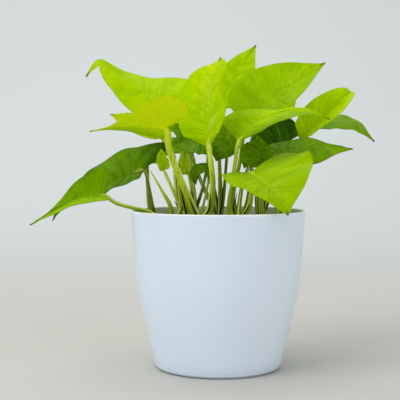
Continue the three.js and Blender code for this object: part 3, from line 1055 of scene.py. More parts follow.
@dataclass(frozen=True)
class LeafTissue:
    """The finish of a waxy blade: colours by age, veins, painted highlights and light through it.

    A zone says where it begins and where it is full: the rib's and the edge's as shares of the
    half width, and the tip's as shares of the midrib. Relief is the depth of the quilting.
    """

    name: str
    vein: Colour
    margin: Colour
    through: Colour
    glow: float
    veining: float
    roughness: float = 0.36
    laterals: int = 8
    sheen: Colour = srgb(236, 255, 60)
    gloss: float = 0.3
    # The colour of the painted highlight beside the midrib.
    painted_glint: Colour = srgb(236, 255, 100)
    tip: Colour = srgb(78, 62, 30)
    scar: Colour = srgb(146, 122, 44)
    rib_zone: Pair = (0.04, 0.0)
    edge_zone: Pair = (0.955, 0.99)
    tip_zone: Pair = (0.93, 0.965)
    relief: float = 0.0016

    def material(self) -> bpy.types.Material:
        """Makes the material.

        Returns:
            The material, some of whose light comes through from behind.
        """
        constants = {"Specular_Tint": self.sheen, "Specular_IOR_Level": self.gloss}
        shader = Shader(self.name, IOR=1.28, **constants)
        spread = shader.node("ShaderNodeUVMap", {"uv_map": "UVMap"}).outputs[0]
        u, along, _ = shader.split(spread)
        out = abs(u * 2 - 1)
        marks = ("age", "under", "number", "gleam")
        age, under, number, gleam = (shader.attribute(mark) for mark in marks)
        drift = shader.noise(45.0, 2.0)
        fine = shader.noise(520.0, 3.0)
        spot = shader.join(u + number * 0.7, along, number * 0.37)
        lines = shader.noise(1.0, 3.0, (2.6, 30.0, 9.0), spot)
        runs = shader.noise(1.0, 2.0, (24.0, 3.2, 9.0), spot)
        bands = shader.noise(1.0, 1.0, (1.6, 8.0, 9.0), spot)
        bumps = shader.noise(130.0, 1.0)
        beat = along * self.laterals + (bands - 0.5) * 1.4
        near = abs(beat.fraction() - 0.5) * 2
        blade = out.step(0.0, 0.08) * out.step(1.0, 0.7)
        lateral = near.step(0.86, 1.0) * blade
        streak = (lines - 0.5) * blade
        rib = out.step(*self.rib_zone)
        # The age mark carries each leaf's fade: partly its own tone, partly painted shade and
        # painted light.
        tone = age + (drift - 0.5) * 0.15 + (fine - 0.5) * 0.06 + (bands - 0.5) * 0.14
        base = leaf_colour(shader, tone - streak * (0.3 + self.veining * 0.6))
        veined = shader.mix(lateral * self.veining + rib * 0.28, base, self.vein)
        # Painted highlight: pale streaks beside the midrib, painted as if its ripples caught the
        # light, as strong as each leaf's gleam mark.
        ripple = runs * 0.55 + lines * 0.45 + (fine - 0.5) * 0.2
        painted_shine = ripple.step(0.5, 0.62) * out.step(0.6, 0.15)
        painted_shine = painted_shine * along.step(0.2, 0.4) * along.step(0.88, 0.7) * gleam
        with_painted_glint = shader.mix(painted_shine * 0.75, veined, self.painted_glint)
        pale = shader.mix(under * 0.22, with_painted_glint, self.vein)
        edge = (out + (fine - 0.5) * 0.03).step(*self.edge_zone)
        edged = shader.mix(edge * 0.5, pale, self.margin)
        nicks = (bumps - drift * 0.2).step(0.56, 0.62) * out.step(0.93, 0.98)
        scars = shader.noise(240.0, 1.0).step(0.78, 0.8)
        worn = shader.mix(nicks * 0.55 + scars * 0.6, edged, self.scar)
        end = (along + (fine - 0.5) * 0.03).step(*self.tip_zone)
        burnt = shader.mix(end * 0.85, worn, self.tip)
        shader.paint(burnt, self.roughness + under * 0.12 + (drift - 0.5) * 0.15 - streak * 0.6)
        quilt = near * -0.25 + streak * 1.2 + bumps * 0.8 + fine * 0.06 + rib * -0.1
        shader.bump(quilt, self.relief, 0.8)
        lit = shader.node("ShaderNodeBsdfTranslucent", None, {"Color": self.through})
        inputs = {0: self.glow, 1: shader.surface.outputs[0], 2: lit.outputs[0]}
        both = shader.node("ShaderNodeMixShader", None, inputs)
        shader.feed(shader.output.inputs[0], both.outputs[0])
        return shader.material


LEAF_FINISHES = {
    LeafAge.YOUNG: LeafTissue(
        "young_leaf", srgb(232, 246, 50), srgb(172, 202, 8), srgb(222, 242, 0), 0.46, 0.18
    ),
    LeafAge.GROWN: LeafTissue(
        "grown_leaf", srgb(176, 208, 30), srgb(110, 140, 10), srgb(170, 212, 0), 0.32, 0.24,
        roughness=0.4,
    ),
    LeafAge.OLD: LeafTissue(
        "old_leaf", srgb(132, 174, 20), srgb(70, 84, 16), srgb(110, 160, 2), 0.24, 0.34,
        roughness=0.44,
    ),
}


@dataclass(frozen=True)
class StalkTissue:
    """The finish of stalks and vines: green, paler upwards, brown where it is woody."""

    name: str = "stalk"
    low: Colour = srgb(142, 164, 24)
    high: Colour = srgb(208, 230, 50)
    pale: Colour = srgb(238, 248, 140)
    deep: Colour = srgb(72, 92, 8)
    woody: Colour = srgb(84, 84, 22)
    dead: Colour = srgb(30, 26, 12)
    old: Colour = srgb(100, 136, 22)
    sheen: Colour = srgb(230, 255, 110)
    relief: float = 0.0003

    def material(self) -> bpy.types.Material:
        """Makes the material.

        Returns:
            The material, which follows the marks that the rods carry.
        """
        shader = Shader(self.name, IOR=1.35, Specular_Tint=self.sheen, Specular_IOR_Level=0.4)
        marks = ("share", "age", "woody", "facing")
        share, age, woody, facing = (shader.attribute(mark) for mark in marks)
        cloud = shader.noise(60.0, 3.0)
        streaks = shader.noise(900.0, 3.0, (1.0, 1.0, 0.06))
        flecks = shader.noise(1500.0, 1.0, (1.0, 1.0, 0.4)).step(0.66, 0.74)
        green = shader.mix((share + (cloud - 0.5) * 0.4).step(0.0, 0.85), self.low, self.high)
        aged = shader.mix((age * 1.2).step(0.0, 0.9) * 0.9, green, self.old)
        dark = shader.mix(streaks.step(0.5, 0.66) * share.step(0.95, 0.7) * 0.45, aged, self.deep)
        ridge = (facing + (streaks - 0.5) * 0.3).step(0.35, 0.6) * facing.step(0.95, 0.75)
        winged = shader.mix(ridge * share.step(0.98, 0.8) * 0.8, dark, self.pale)
        neck = share.step(0.84, 0.95) * 0.9
        winged = shader.mix(neck, winged, leaf_colour(shader, age * 1.3))
        bark = shader.mix((woody + (cloud - 0.5) * 0.6).step(0.3, 0.8), winged, self.woody)
        bark = shader.mix(woody.step(1.2, 1.8), bark, self.dead)
        lined = shader.mix(streaks.step(0.3, 0.75) * 0.3 * woody.step(1.4, 1.0), bark, self.low)
        shader.paint(shader.mix(flecks * 0.2, lined, self.woody), 0.42 + streaks * 0.2)
        shader.bump(streaks + woody * cloud, self.relief, 0.6)
        return shader.material


@dataclass(frozen=True)
class Leaf:
    """One leaf: where its stalk and midrib run, and how its two halves spread.

    Joint is where the stalk meets the blade, and rib are the places that the midrib passes to
    the tip. Face is the way that the upper side looks at the joint, and face_tip at the tip. The
    pairs are for the left and the right half, seen from above with the tip ahead: width, fold
    and curl (degrees up at the midrib, and more on the way to the edge), lobe (how far it
    reaches behind the joint), sweep (how far the edge leans back) and taper (how much it narrows
    to the tip). Nip is a dent in the edge: its middle and length in rows, and its depth on each
    side. Wave is a height, a count and a phase. Via are the places that the stalk passes, and
    thick scales the stalk. Age goes from 0, yellow-lime, to 1, dark green, and fade is how much
    older the left edge, the right edge, the joint and the tip look: partly the leaf's own tone,
    partly painted shade on parts that lie in shadow and painted light, below 0, on lit parts.
    Gleam sets how strong the painted highlight is on the ripples beside the midrib, and ruffle
    scales the fine waves of the edge.
    """

    joint: Point
    rib: tuple[Point, ...]
    face: Point
    width: Pair
    fold: Pair
    via: tuple[Point, ...]
    age: float
    face_tip: Point | None = None
    curl: Pair = (0.0, 0.0)
    lobe: Pair = (1.0, 1.0)
    sweep: Pair = (0.0, 0.0)
    taper: Pair = (0.0, 0.0)
    nip: tuple[float, float, float, float] = (0.5, 1.0, 0.0, 0.0)
    wave: Point = (0.0, 0.0, 0.0)
    thick: float = 1.0
    fade: tuple[float, float, float, float] = (0.0, 0.0, 0.0, 0.0)
    gleam: float = 0.25
    ruffle: float = 1.0


class Midrib:
    """A leaf's midrib, with the directions of its blade at each share of its length."""

    def __init__(self, leaf: Leaf) -> None:
        """Fits the midrib's curve.

        Args:
            leaf: The leaf.
        """
        self.route = Route([leaf.joint, *leaf.rib])
        self.length = self.route.length
        ways = (np.array(way, dtype=float) for way in (leaf.face, leaf.face_tip or leaf.face))
        self.face, self.face_tip = (way / np.linalg.norm(way) for way in ways)

    def at(self, share: np.ndarray) -> tuple[np.ndarray, np.ndarray, np.ndarray]:
        """Reads the midrib.

        Args:
            share: Shares of the length; past the ends it goes straight on.

        Returns:
            The places, and the unit directions up from the blade and to its right.
        """
        along = np.clip(share, 0, 1)
        ahead = self.route.ahead(along)
        turn = (1 - (1 - along) ** 2)[..., None]
        up = square_to(self.face * (1 - turn) + self.face_tip * turn, ahead)
        place = self.route.at(along) + ahead * ((share - along) * self.length)[..., None]
        return place, up, np.cross(ahead, up)


@dataclass(frozen=True)
class BladeRule:
    """How every blade is shaped and how finely it is cut.

    Outline is half of the heart, as shares of the half width and of the midrib's length. The
    rows of a blade follow its side veins, and its strips run beside the midrib, gathered
    towards it. Fan is the share of the rows that start at the joint, and vein_sweep how the
    others crowd there. Slimmest is the least that a taper leaves of the width. Quilt is how far
    the blade swells between its side veins, ruffle the height of its edge's fine waves, and
    valley how far from the midrib its fold is soft. Sharp_from is the angle of a hard edge.
    """

    outline: tuple[Pair, ...] = (
        (0.0, 0.0),
        (0.3, -0.085),
        (0.63, -0.095),
        (0.89, 0.03),
        (1.0, 0.2),
        (0.96, 0.38),
        (0.8, 0.55),
        (0.54, 0.72),
        (0.27, 0.85),
        (0.09, 0.94),
        (0.0, 1.0),
    )
    fan: float = 0.18
    vein_sweep: float = 1.3
    slimmest: float = 0.12
    rows: int = 72
    strips: int = 15
    gather: float = 1.35
    thickness: float = 0.5
    rib_height: float = 0.7
    rib_width: float = 1.1
    groove: float = 0.15
    quilt: float = 0.8
    laterals: int = 8
    ruffle: float = 0.7
    valley: float = 3.0
    sharp_from: float = 50.0


@dataclass
class Sheet:
    """Gathers the corners, faces and marks of a stem's blades."""

    places: list[np.ndarray] = field(default_factory=list)
    faces: list[tuple[int, ...]] = field(default_factory=list)
    spread: list[tuple[Pair, ...]] = field(default_factory=list)
    finish: list[int] = field(default_factory=list)
    marks: dict[str, list[np.ndarray]] = field(default_factory=dict)
    count: int = 0

    def mark(self, **numbers: np.ndarray) -> None:
        """Adds a number for each corner of a blade, by the name of the mark."""
        for name, row in numbers.items():
            self.marks.setdefault(name, []).append(row)


class Blade:
    """One heart-shaped blade, thin and closed, with a rib below and quilting between veins."""

    def __init__(self, leaf: Leaf, midrib: Midrib, rule: BladeRule, number: int) -> None:
        """Takes what the blade follows.

        Args:
            leaf: The leaf.
            midrib: Its midrib.
            rule: How blades are shaped.
            number: The leaf's number, which varies its ruffle.
        """
        self.leaf = leaf
        self.midrib = midrib
        self.rule = rule
        self.number = number
        self.row = np.linspace(0, 1, rule.rows + 1)[:, None]
        strip = np.linspace(-1, 1, 2 * rule.strips + 1)[None, :]
        self.side = (strip >= 0).astype(int)
        self.out = np.abs(strip) ** rule.gather
        self.strip = np.sign(strip) * self.out

    def _pair(self, pair: Pair) -> np.ndarray:
        """Spreads a pair for the two halves over the strips."""
        return np.asarray(pair, dtype=float)[self.side]

    def middle(self) -> tuple[np.ndarray, np.ndarray]:
        """Shapes the middle surface.

        Returns:
            Its places, and how far each is from the midrib.
        """
        leaf, rule = self.leaf, self.rule
        edge = spline(rule.outline, self.row[:, 0])
        wide, tall = edge[:, :1], edge[:, 1:]
        root = np.clip((self.row - rule.fan) / (1 - rule.fan), 0, None) ** rule.vein_sweep
        lobe = np.where(tall < 0, self._pair(leaf.lobe), 1.0)
        end = tall * lobe - self._pair(leaf.sweep) * wide * (1 - tall)
        share = root * (1 - self.out) + end * self.out
        place, up, right = self.midrib.at(share)
        narrow = np.maximum(rule.slimmest, 1 - self._pair(leaf.taper) * np.maximum(0, tall))
        width = self._pair(leaf.width)
        centre, span, *depth = leaf.nip
        dent = 1 - self._pair(tuple(depth)) * bell(self.row - centre, span)
        reach = width * wide * narrow * dent * self.out
        across, rise = self._bent(reach, width)
        for wave in self._waves():
            rise = rise + wave * wide
        sign = np.where(self.side == 0, -1.0, 1.0)
        spot = place + right * (sign * across)[..., None] + up * rise[..., None]
        return spot, reach

    def _bent(self, reach: np.ndarray, width: np.ndarray) -> tuple[np.ndarray, np.ndarray]:
        """Folds and curls the two halves.

        Args:
            reach: How far each place is from the midrib, measured along the blade.
            width: The width of its half.

        Returns:
            How far each place lies beside the midrib, and how far above it.
        """
        fold = np.radians(self._pair(self.leaf.fold))
        bend = np.radians(self._pair(self.leaf.curl)) / width
        safe = np.where(bend == 0, 1.0, bend)
        arc_across = (np.sin(fold + safe * reach) - np.sin(fold)) / safe
        arc_rise = (np.cos(fold) - np.cos(fold + safe * reach)) / safe
        across = np.where(bend == 0, reach * np.cos(fold), arc_across)
        rise = np.where(bend == 0, reach * np.sin(fold), arc_rise)
        soft = np.hypot(reach, self.rule.valley) - self.rule.valley
        return across, rise * soft / np.maximum(reach, TINY)

    def _waves(self) -> tuple[np.ndarray, np.ndarray]:
        """Waves the blade.

        Returns:
            The heights of its broad waves and of the fine ones of its edge.
        """
        height, count, phase = self.leaf.wave
        beat = TURN * count * self.row + phase + 2 * self.side
        ripple = TURN * (4 + self.number % 3) * self.row + self.number * 1.7 + 2.4 * self.side
        crimp = self.rule.ruffle * self.leaf.ruffle * (0.3 + self.leaf.age)
        return height * self.out**2 * np.sin(beat), crimp * self.out**4 * np.sin(ripple)

    def add_to(self, sheet: Sheet, finish: int) -> None:
        """Adds the blade's two sides and rim.

        Args:
            sheet: Where the blades of a stem gather.
            finish: The number of the blade's material.
        """
        middle, reach = self.middle()
        names, corners = self._numbered(middle)
        quads = self._quads(names)
        normals = self._normals(corners, [quad for quad, _ in quads])
        _, first = np.unique(names, return_index=True)
        row, strip, out, reach = (
            np.broadcast_to(grid, names.shape).ravel()[first]
            for grid in (self.row, self.strip, self.out, reach)
        )
        above, below = self._relief(row, out, reach)
        sheet.places += [corners + normals * above[:, None], corners - normals * below[:, None]]
        count = len(corners)
        self._close(sheet, quads, count)
        sheet.finish += [finish] * (len(sheet.faces) - len(sheet.finish))
        # Fade shifts the age: partly the leaf's own tone, partly painted shade on parts in shadow
        # and painted light, below 0, on lit parts.
        left, right, foot, tip = self.leaf.fade
        edge = np.where(strip < 0, left, right) * out
        sheet.mark(
            age=np.tile(self.leaf.age + edge + foot * (1 - row) ** 4 + tip * row**3, 2),
            under=np.repeat([0.0, 1.0], count),
            number=np.full(2 * count, float(self.number)),
            gleam=np.repeat([self.leaf.gleam, 0.0], count),
        )
        sheet.count += 2 * count

    def _relief(
        self, row: np.ndarray, out: np.ndarray, reach: np.ndarray
    ) -> tuple[np.ndarray, np.ndarray]:
        """Gives the blade its rib, its groove and its quilting.

        Args:
            row: Each corner's row, from 0 to 1.
            out: How far out its strip is, from 0 to 1.
            reach: How far it is from the midrib.

        Returns:
            How far the upper and the lower side stand from the middle surface.
        """
        rule, number = self.rule, self.number
        fade = (1 - 0.75 * row) * smooth(1 - row, 0, 0.05)
        crease = bell(reach, rule.rib_width * 0.8) * fade
        ridge = bell(reach, rule.rib_width) * (0.25 + fade)
        wander = 0.3 * np.sin(9 * row + number) + 0.25 * np.sin(5 * out + 2.3 * number)
        beat = np.abs(((row * rule.laterals + wander) % 1) - 0.5) * 2
        swell = (1 - beat**3) * (0.6 + 0.4 * np.sin(7 * out + 11 * row + number))
        pillow = rule.quilt * swell * np.sin(math.pi * np.clip(out, 0, 1))
        half = rule.thickness / 2
        above = half - rule.groove * crease + pillow
        return above, half + rule.rib_height * 0.8 * ridge - pillow

    @staticmethod
    def _close(sheet: Sheet, quads: Sequence[MarkedFace], count: int) -> None:
        """Adds the faces of both sides and of the rim between them.

        Args:
            sheet: Where the blades of a stem gather.
            quads: The faces of one side, with their marks.
            count: How many corners one side has.
        """
        base = sheet.count
        rim: dict[tuple[int, int], tuple[Pair, Pair]] = {}
        for quad, marks in quads:
            sheet.faces.append(tuple(base + k for k in quad))
            sheet.spread.append(marks)
            sheet.faces.append(tuple(base + count + k for k in reversed(quad)))
            sheet.spread.append(tuple(reversed(marks)))
            for here, there, mark, mark_there in zip(
                quad, quad[1:] + quad[:1], marks, marks[1:] + marks[:1]
            ):
                if (there, here) in rim:
                    del rim[there, here]
                else:
                    rim[here, there] = (mark, mark_there)
        for (here, there), (mark, mark_there) in rim.items():
            corners = (there, here, here + count, there + count)
            sheet.faces.append(tuple(base + k for k in corners))
            sheet.spread.append((mark_there, mark, mark, mark_there))

    def _numbered(self, middle: np.ndarray) -> tuple[np.ndarray, np.ndarray]:
        """Numbers the corners, with one number for those that meet at the joint and the tip.

        Args:
            middle: The places of the middle surface.

        Returns:
            The number of each place, and the places of the numbers.
        """
        names = np.arange(middle.shape[0] * middle.shape[1]).reshape(middle.shape[:2])
        centre = self.rule.strips
        names[0, :] = names[0, centre]
        names[(self.row[:, 0] <= self.rule.fan), centre] = names[0, centre]
        names[-1, :] = names[-1, centre]
        kept, numbers = np.unique(names, return_inverse=True)
        return numbers.reshape(names.shape), middle.reshape(-1, 3)[kept]

    def _quads(self, names: np.ndarray) -> list[MarkedFace]:
        """Lists the faces of the middle surface.

        Args:
            names: The number of each place.

        Returns:
            Each face's corners and their marks: strip and row, from 0 to 1.
        """
        quads = []
        strips = (self.strip[0] + 1) / 2
        for i in range(names.shape[0] - 1):
            for j in range(names.shape[1] - 1):
                ring = ((i, j), (i, j + 1), (i + 1, j + 1), (i + 1, j))
                kept: dict[int, Pair] = {}
                for row, strip in ring:
                    mark = (float(strips[strip]), float(self.row[row, 0]))
                    kept.setdefault(int(names[row, strip]), mark)
                if len(kept) > 2:
                    quads.append((tuple(kept), tuple(kept.values())))
        return quads

    @staticmethod
    def _normals(corners: np.ndarray, faces: list[tuple[int, ...]]) -> np.ndarray:
        """Gives each corner's unit normal, from the faces round it.

        Args:
            corners: The places of the corners.
            faces: The corners of each face.

        Returns:
            One unit normal for each corner.
        """
        normals = np.zeros_like(corners)
        for size in (3, 4):
            some = np.array([face for face in faces if len(face) == size], dtype=int)
            if len(some):
                last = some[:, 3] if size == 4 else some[:, 0]
                across = corners[some[:, 2]] - corners[some[:, 0]]
                way = np.cross(across, corners[last] - corners[some[:, 1]])
                for k in range(size):
                    np.add.at(normals, some[:, k], way)
        return normals / np.maximum(np.linalg.norm(normals, axis=1, keepdims=True), TINY)


@dataclass(frozen=True)
class Rod:
    """A round rod along a path, before it becomes a tube.

    Each place has its share of the length, an age as a leaf has, how woody it is (1 for bark
    and 2 for what has withered), and the way that its groove faces, or no way.
    """

    places: np.ndarray
    radius: np.ndarray
    share: np.ndarray
    age: np.ndarray
    woody: np.ndarray
    groove: np.ndarray


@dataclass(frozen=True)
class Stem:
    """A rooted cutting: a short vine in the soil, with its leaves and rolled young leaves."""

    name: str
    slot: str
    foot: Pair
    top: Point
    leaves: tuple[Leaf, ...]
    shoots: tuple[tuple[Point, ...], ...] = ()


@dataclass
class StemBuilder:
    """Dresses one leafy stem.

    Nodes are the shares of the vine between which the stalks leave it. A swelling, like a scar
    of the vine, is a place along its rod, a width and a share of the radius.
    """

    stem: Stem
    leaf_materials: Mapping[LeafAge, bpy.types.Material]
    stalk_material: bpy.types.Material
    tubes: Modelling
    first_number: int
    rule: BladeRule = field(default_factory=BladeRule)
    vine_radius: float = 3.6
    vine_tip: float = 0.64
    vine_end: float = 0.7
    vine_age: float = 0.5
    vine_steps: int = 36
    scars: tuple[Point, ...] = ((0.58, 0.02, 0.09), (0.72, 0.02, 0.09), (0.86, 0.02, 0.09))
    hole_depth: float = 13.4
    upright: float = 6.4
    soil_level: float = 115.0
    soil_lump: float = 1.3
    petiole_foot: float = 2.7
    petiole_neck: float = 1.7
    swellings: tuple[Point, ...] = ((0.84, 0.045, 0.14), (0.0, 0.05, 0.18))
    rib_end: float = 0.45
    rib_reach: float = 0.16
    rib_sink: float = 0.15
    neck_from: float = 0.45
    nodes: Pair = (0.68, 0.94)
    sheath_ends: Pair = (1.07, 0.12)
    shoot_from: float = 0.85
    shoot_ends: Pair = (2.6, 0.4)
    shoot_age: float = 0.2
    steps: int = 44
    tube_sides: int = 14

    def vine(self) -> Route:
        """Lays the vine's path, upright in its hole.

        Returns:
            The path.
        """
        x, y = self.stem.foot
        lowest = self.soil_level - self.hole_depth
        surface = self.soil_level + self.soil_lump
        knots = [(x, y, z) for z in (lowest, lowest + self.upright, surface)]
        return Route([*knots, self.stem.top])

    @staticmethod
    def swollen(share: np.ndarray, swellings: Sequence[Point]) -> np.ndarray:
        """Gives how many times a rod is thicker for its swellings."""
        return 1 + sum(swell * bell(share - place, width) for place, width, swell in swellings)

    def vine_rod(self) -> Rod:
        """Gives the vine, with its leaf scars as low rings.

        Returns:
            The vine, woody at its foot.
        """
        share = np.linspace(0, 1, self.vine_steps)
        thin = 1 + (self.vine_tip - 1) * np.clip((share - 0.6) / 0.4, 0, 1)
        radius = self.vine_radius * thin * self.swollen(share, self.scars)
        radius[-1] *= self.vine_end
        woody = 1 - 0.75 * smooth(share, 0.55, 0.95)
        age = np.full_like(share, self.vine_age)
        return Rod(self.vine().at(share), radius, share, age, woody, np.zeros((len(share), 3)))

    def petiole_rod(self, leaf: Leaf, midrib: Midrib, number: int) -> Rod:
        """Gives a leaf's stalk, from the vine to under the first stretch of the midrib.

        Args:
            leaf: The leaf.
            midrib: Its midrib.
            number: The leaf's place on the stem, counted from 1.

        Returns:
            The stalk, with a slight knee below the blade.
        """
        low, high = self.nodes
        start = self.vine().at(np.array(low + (high - low) * number / len(self.stem.leaves)))
        place, up, _ = midrib.at(np.array([0.0, self.rib_reach]))
        sink = np.array([[0.5 * self.petiole_neck], [self.rib_end + self.rib_sink]])
        route = Route([start, *leaf.via, *(place - up * sink)])
        share = np.linspace(0, 1, self.steps)
        neck = np.interp(share, [0, self.neck_from], [self.petiole_foot, self.petiole_neck])
        runout = smooth(share, 0.85, 1.0)
        radius = leaf.thick * neck * (1 - runout) + self.rib_end * runout
        radius = radius * self.swollen(share, self.swellings)
        woody = 0.3 * (1 - smooth(share, 0.02, 0.14))
        inward = np.array([start[0] - leaf.joint[0], start[1] - leaf.joint[1], 0.0])
        blend = smooth(share, 0.5, 1.0)[:, None]
        groove = inward / np.linalg.norm(inward) * (1 - blend) + up[0] * blend
        groove = square_to(groove, route.ahead(share))
        age = np.full_like(share, leaf.age)
        return Rod(route.at(share), radius, share, age, woody, groove)

    def sheath_rod(self, rod: Rod, number: int) -> Rod:
        """Gives the withered strip that a sheath leaves beside the foot of a stalk.

        Args:
            rod: The stalk.
            number: The leaf's place on the stem, which varies the strip.

        Returns:
            The strip, thin and dark, with its tip a little away from the stalk.
        """
        kept = rod.share <= 0.2 + 0.08 * (number % 3)
        share = np.linspace(0, 1, int(kept.sum()))
        across = np.cross(rod.groove[kept], [0.0, 0.0, 1.0]) * (1 if number % 2 else -1)
        lift = rod.radius[kept] * (0.9 + 0.5 * share**2) + 1.2 * share**3
        places = rod.places[kept] + across * lift[:, None]
        thick, tip = self.sheath_ends
        radius = (thick - tip) * (1 - share) ** 0.6 + tip
        none = share * 0
        return Rod(places, radius, none, none + 1, none + 2, rod.groove[kept] * 0)

    def shoot_rod(self, shoot: Sequence[Point]) -> Rod:
        """Gives a young leaf that is still rolled up.

        Args:
            shoot: The places that it passes after the vine.

        Returns:
            The rolled leaf, which tapers to its tip.
        """
        start = self.vine().at(np.array(self.shoot_from))
        share = np.linspace(0, 1, self.steps)
        foot, tip = self.shoot_ends
        radius = foot + (tip - foot) * share
        places = Route([start, *shoot]).at(share)
        age = np.full_like(share, self.shoot_age)
        return Rod(places, radius, share, age, share * 0, np.zeros((len(share), 3)))

    def stalks(self) -> bpy.types.Object:
        """Makes the vine, the stalks and the shoots as tubes.

        Returns:
            The piece.
        """
        rods = [self.vine_rod()]
        for number, leaf in enumerate(self.stem.leaves, 1):
            rod = self.petiole_rod(leaf, Midrib(leaf), number)
            rods += [rod, self.sheath_rod(rod, number)]
        rods += [self.shoot_rod(shoot) for shoot in self.stem.shoots]
        edges, start = [], 0
        for rod in rods:
            edges += [(start + i, start + i + 1) for i in range(len(rod.places) - 1)]
            start += len(rod.places)
        name = f"stalks_{self.stem.name}"
        path = make_mesh(name, np.vstack([rod.places for rod in rods]), (), edges)
        carry(path, "radius", np.concatenate([rod.radius for rod in rods]) * MM)
        for mark in ("share", "age", "woody", "groove"):
            carry(path, mark, np.concatenate([getattr(rod, mark) for rod in rods]))
        return self.tubes.run(name, path, Sides=self.tube_sides, Material=self.stalk_material)

    def blades(self) -> bpy.types.Object:
        """Makes all the blades of the stem.

        Returns:
            The piece.
        """
        sheet = Sheet()
        ages = list(self.leaf_materials)
        for offset, leaf in enumerate(self.stem.leaves):
            blade = Blade(leaf, Midrib(leaf), self.rule, self.first_number + offset)
            blade.add_to(sheet, ages.index(LeafAge.of(leaf.age)))
        name = f"leaves_{self.stem.name}"
        mesh = make_mesh(name, np.vstack(sheet.places), sheet.faces)
        for mark, rows in sheet.marks.items():
            carry(mesh, mark, np.concatenate(rows))
        spread = mesh.uv_layers.new(name="UVMap")
        spread.data.foreach_set("uv", np.concatenate(sheet.spread).ravel())
        for material in self.leaf_materials.values():
            mesh.materials.append(material)
        mesh.polygons.foreach_set("material_index", sheet.finish)
        shade(mesh, True)
        mesh.set_sharp_from_angle(angle=math.radians(self.rule.sharp_from))
        return place_object(name, mesh)

    def build(self) -> None:
        """Makes the stem's pieces and hands them to the frame."""
        node = f"leafy_stem_{self.stem.name}"
        for piece in (self.blades(), self.stalks()):
            settle(piece, self.stem.slot, node)


# How deep a stalk's groove is and how far the wings beside it stand out, as shares of its radius.
GROOVE_DEPTH = 0.3
WING_HEIGHT = 0.4


def tube_tree() -> Modelling:
    """Builds the tree that turns paths with radii into closed tubes, grooved and winged.

    Returns:
        The tree.
    """
    tree = Modelling("tubes_along_paths", Sides="Int", Material="Material")
    curve = tree.node("GeometryNodeMeshToCurve", None, {0: tree.given["Geometry"]}).outputs[0]
    ring = tree.node("GeometryNodeCurvePrimitiveCircle", None, {0: tree.given["Sides"], 4: 1.0})
    inputs = {0: curve, 1: ring.outputs[0], 2: tree.named("radius"), 3: True}
    tube = tree.node("GeometryNodeCurveToMesh", None, inputs).outputs[0]
    normal = tree.value("GeometryNodeInputNormal")
    settings = {"operation": "DOT_PRODUCT"}
    pair = {0: normal, 1: tree.named("groove", "FLOAT_VECTOR")}
    facing = tree.value("ShaderNodeVectorMath", settings, pair, 1)
    settings = {"data_type": "FLOAT", "domain": "POINT"}
    inputs = {0: tube, 2: "facing", 3: facing}
    marked = tree.node("GeometryNodeStoreNamedAttribute", settings, inputs).outputs[0]
    depth = tree.named("facing").step(0.6, 1.0) * tree.named("radius") * -GROOVE_DEPTH
    grooved = tree.push(marked, normal, depth)
    edge = tree.named("facing").step(0.15, 0.45) * tree.named("facing").step(0.85, 0.6)
    spread = edge * tree.named("share").step(0.7, 0.25) * tree.named("radius") * WING_HEIGHT
    tree.finish(tree.push(grooved, normal, spread))
    return tree


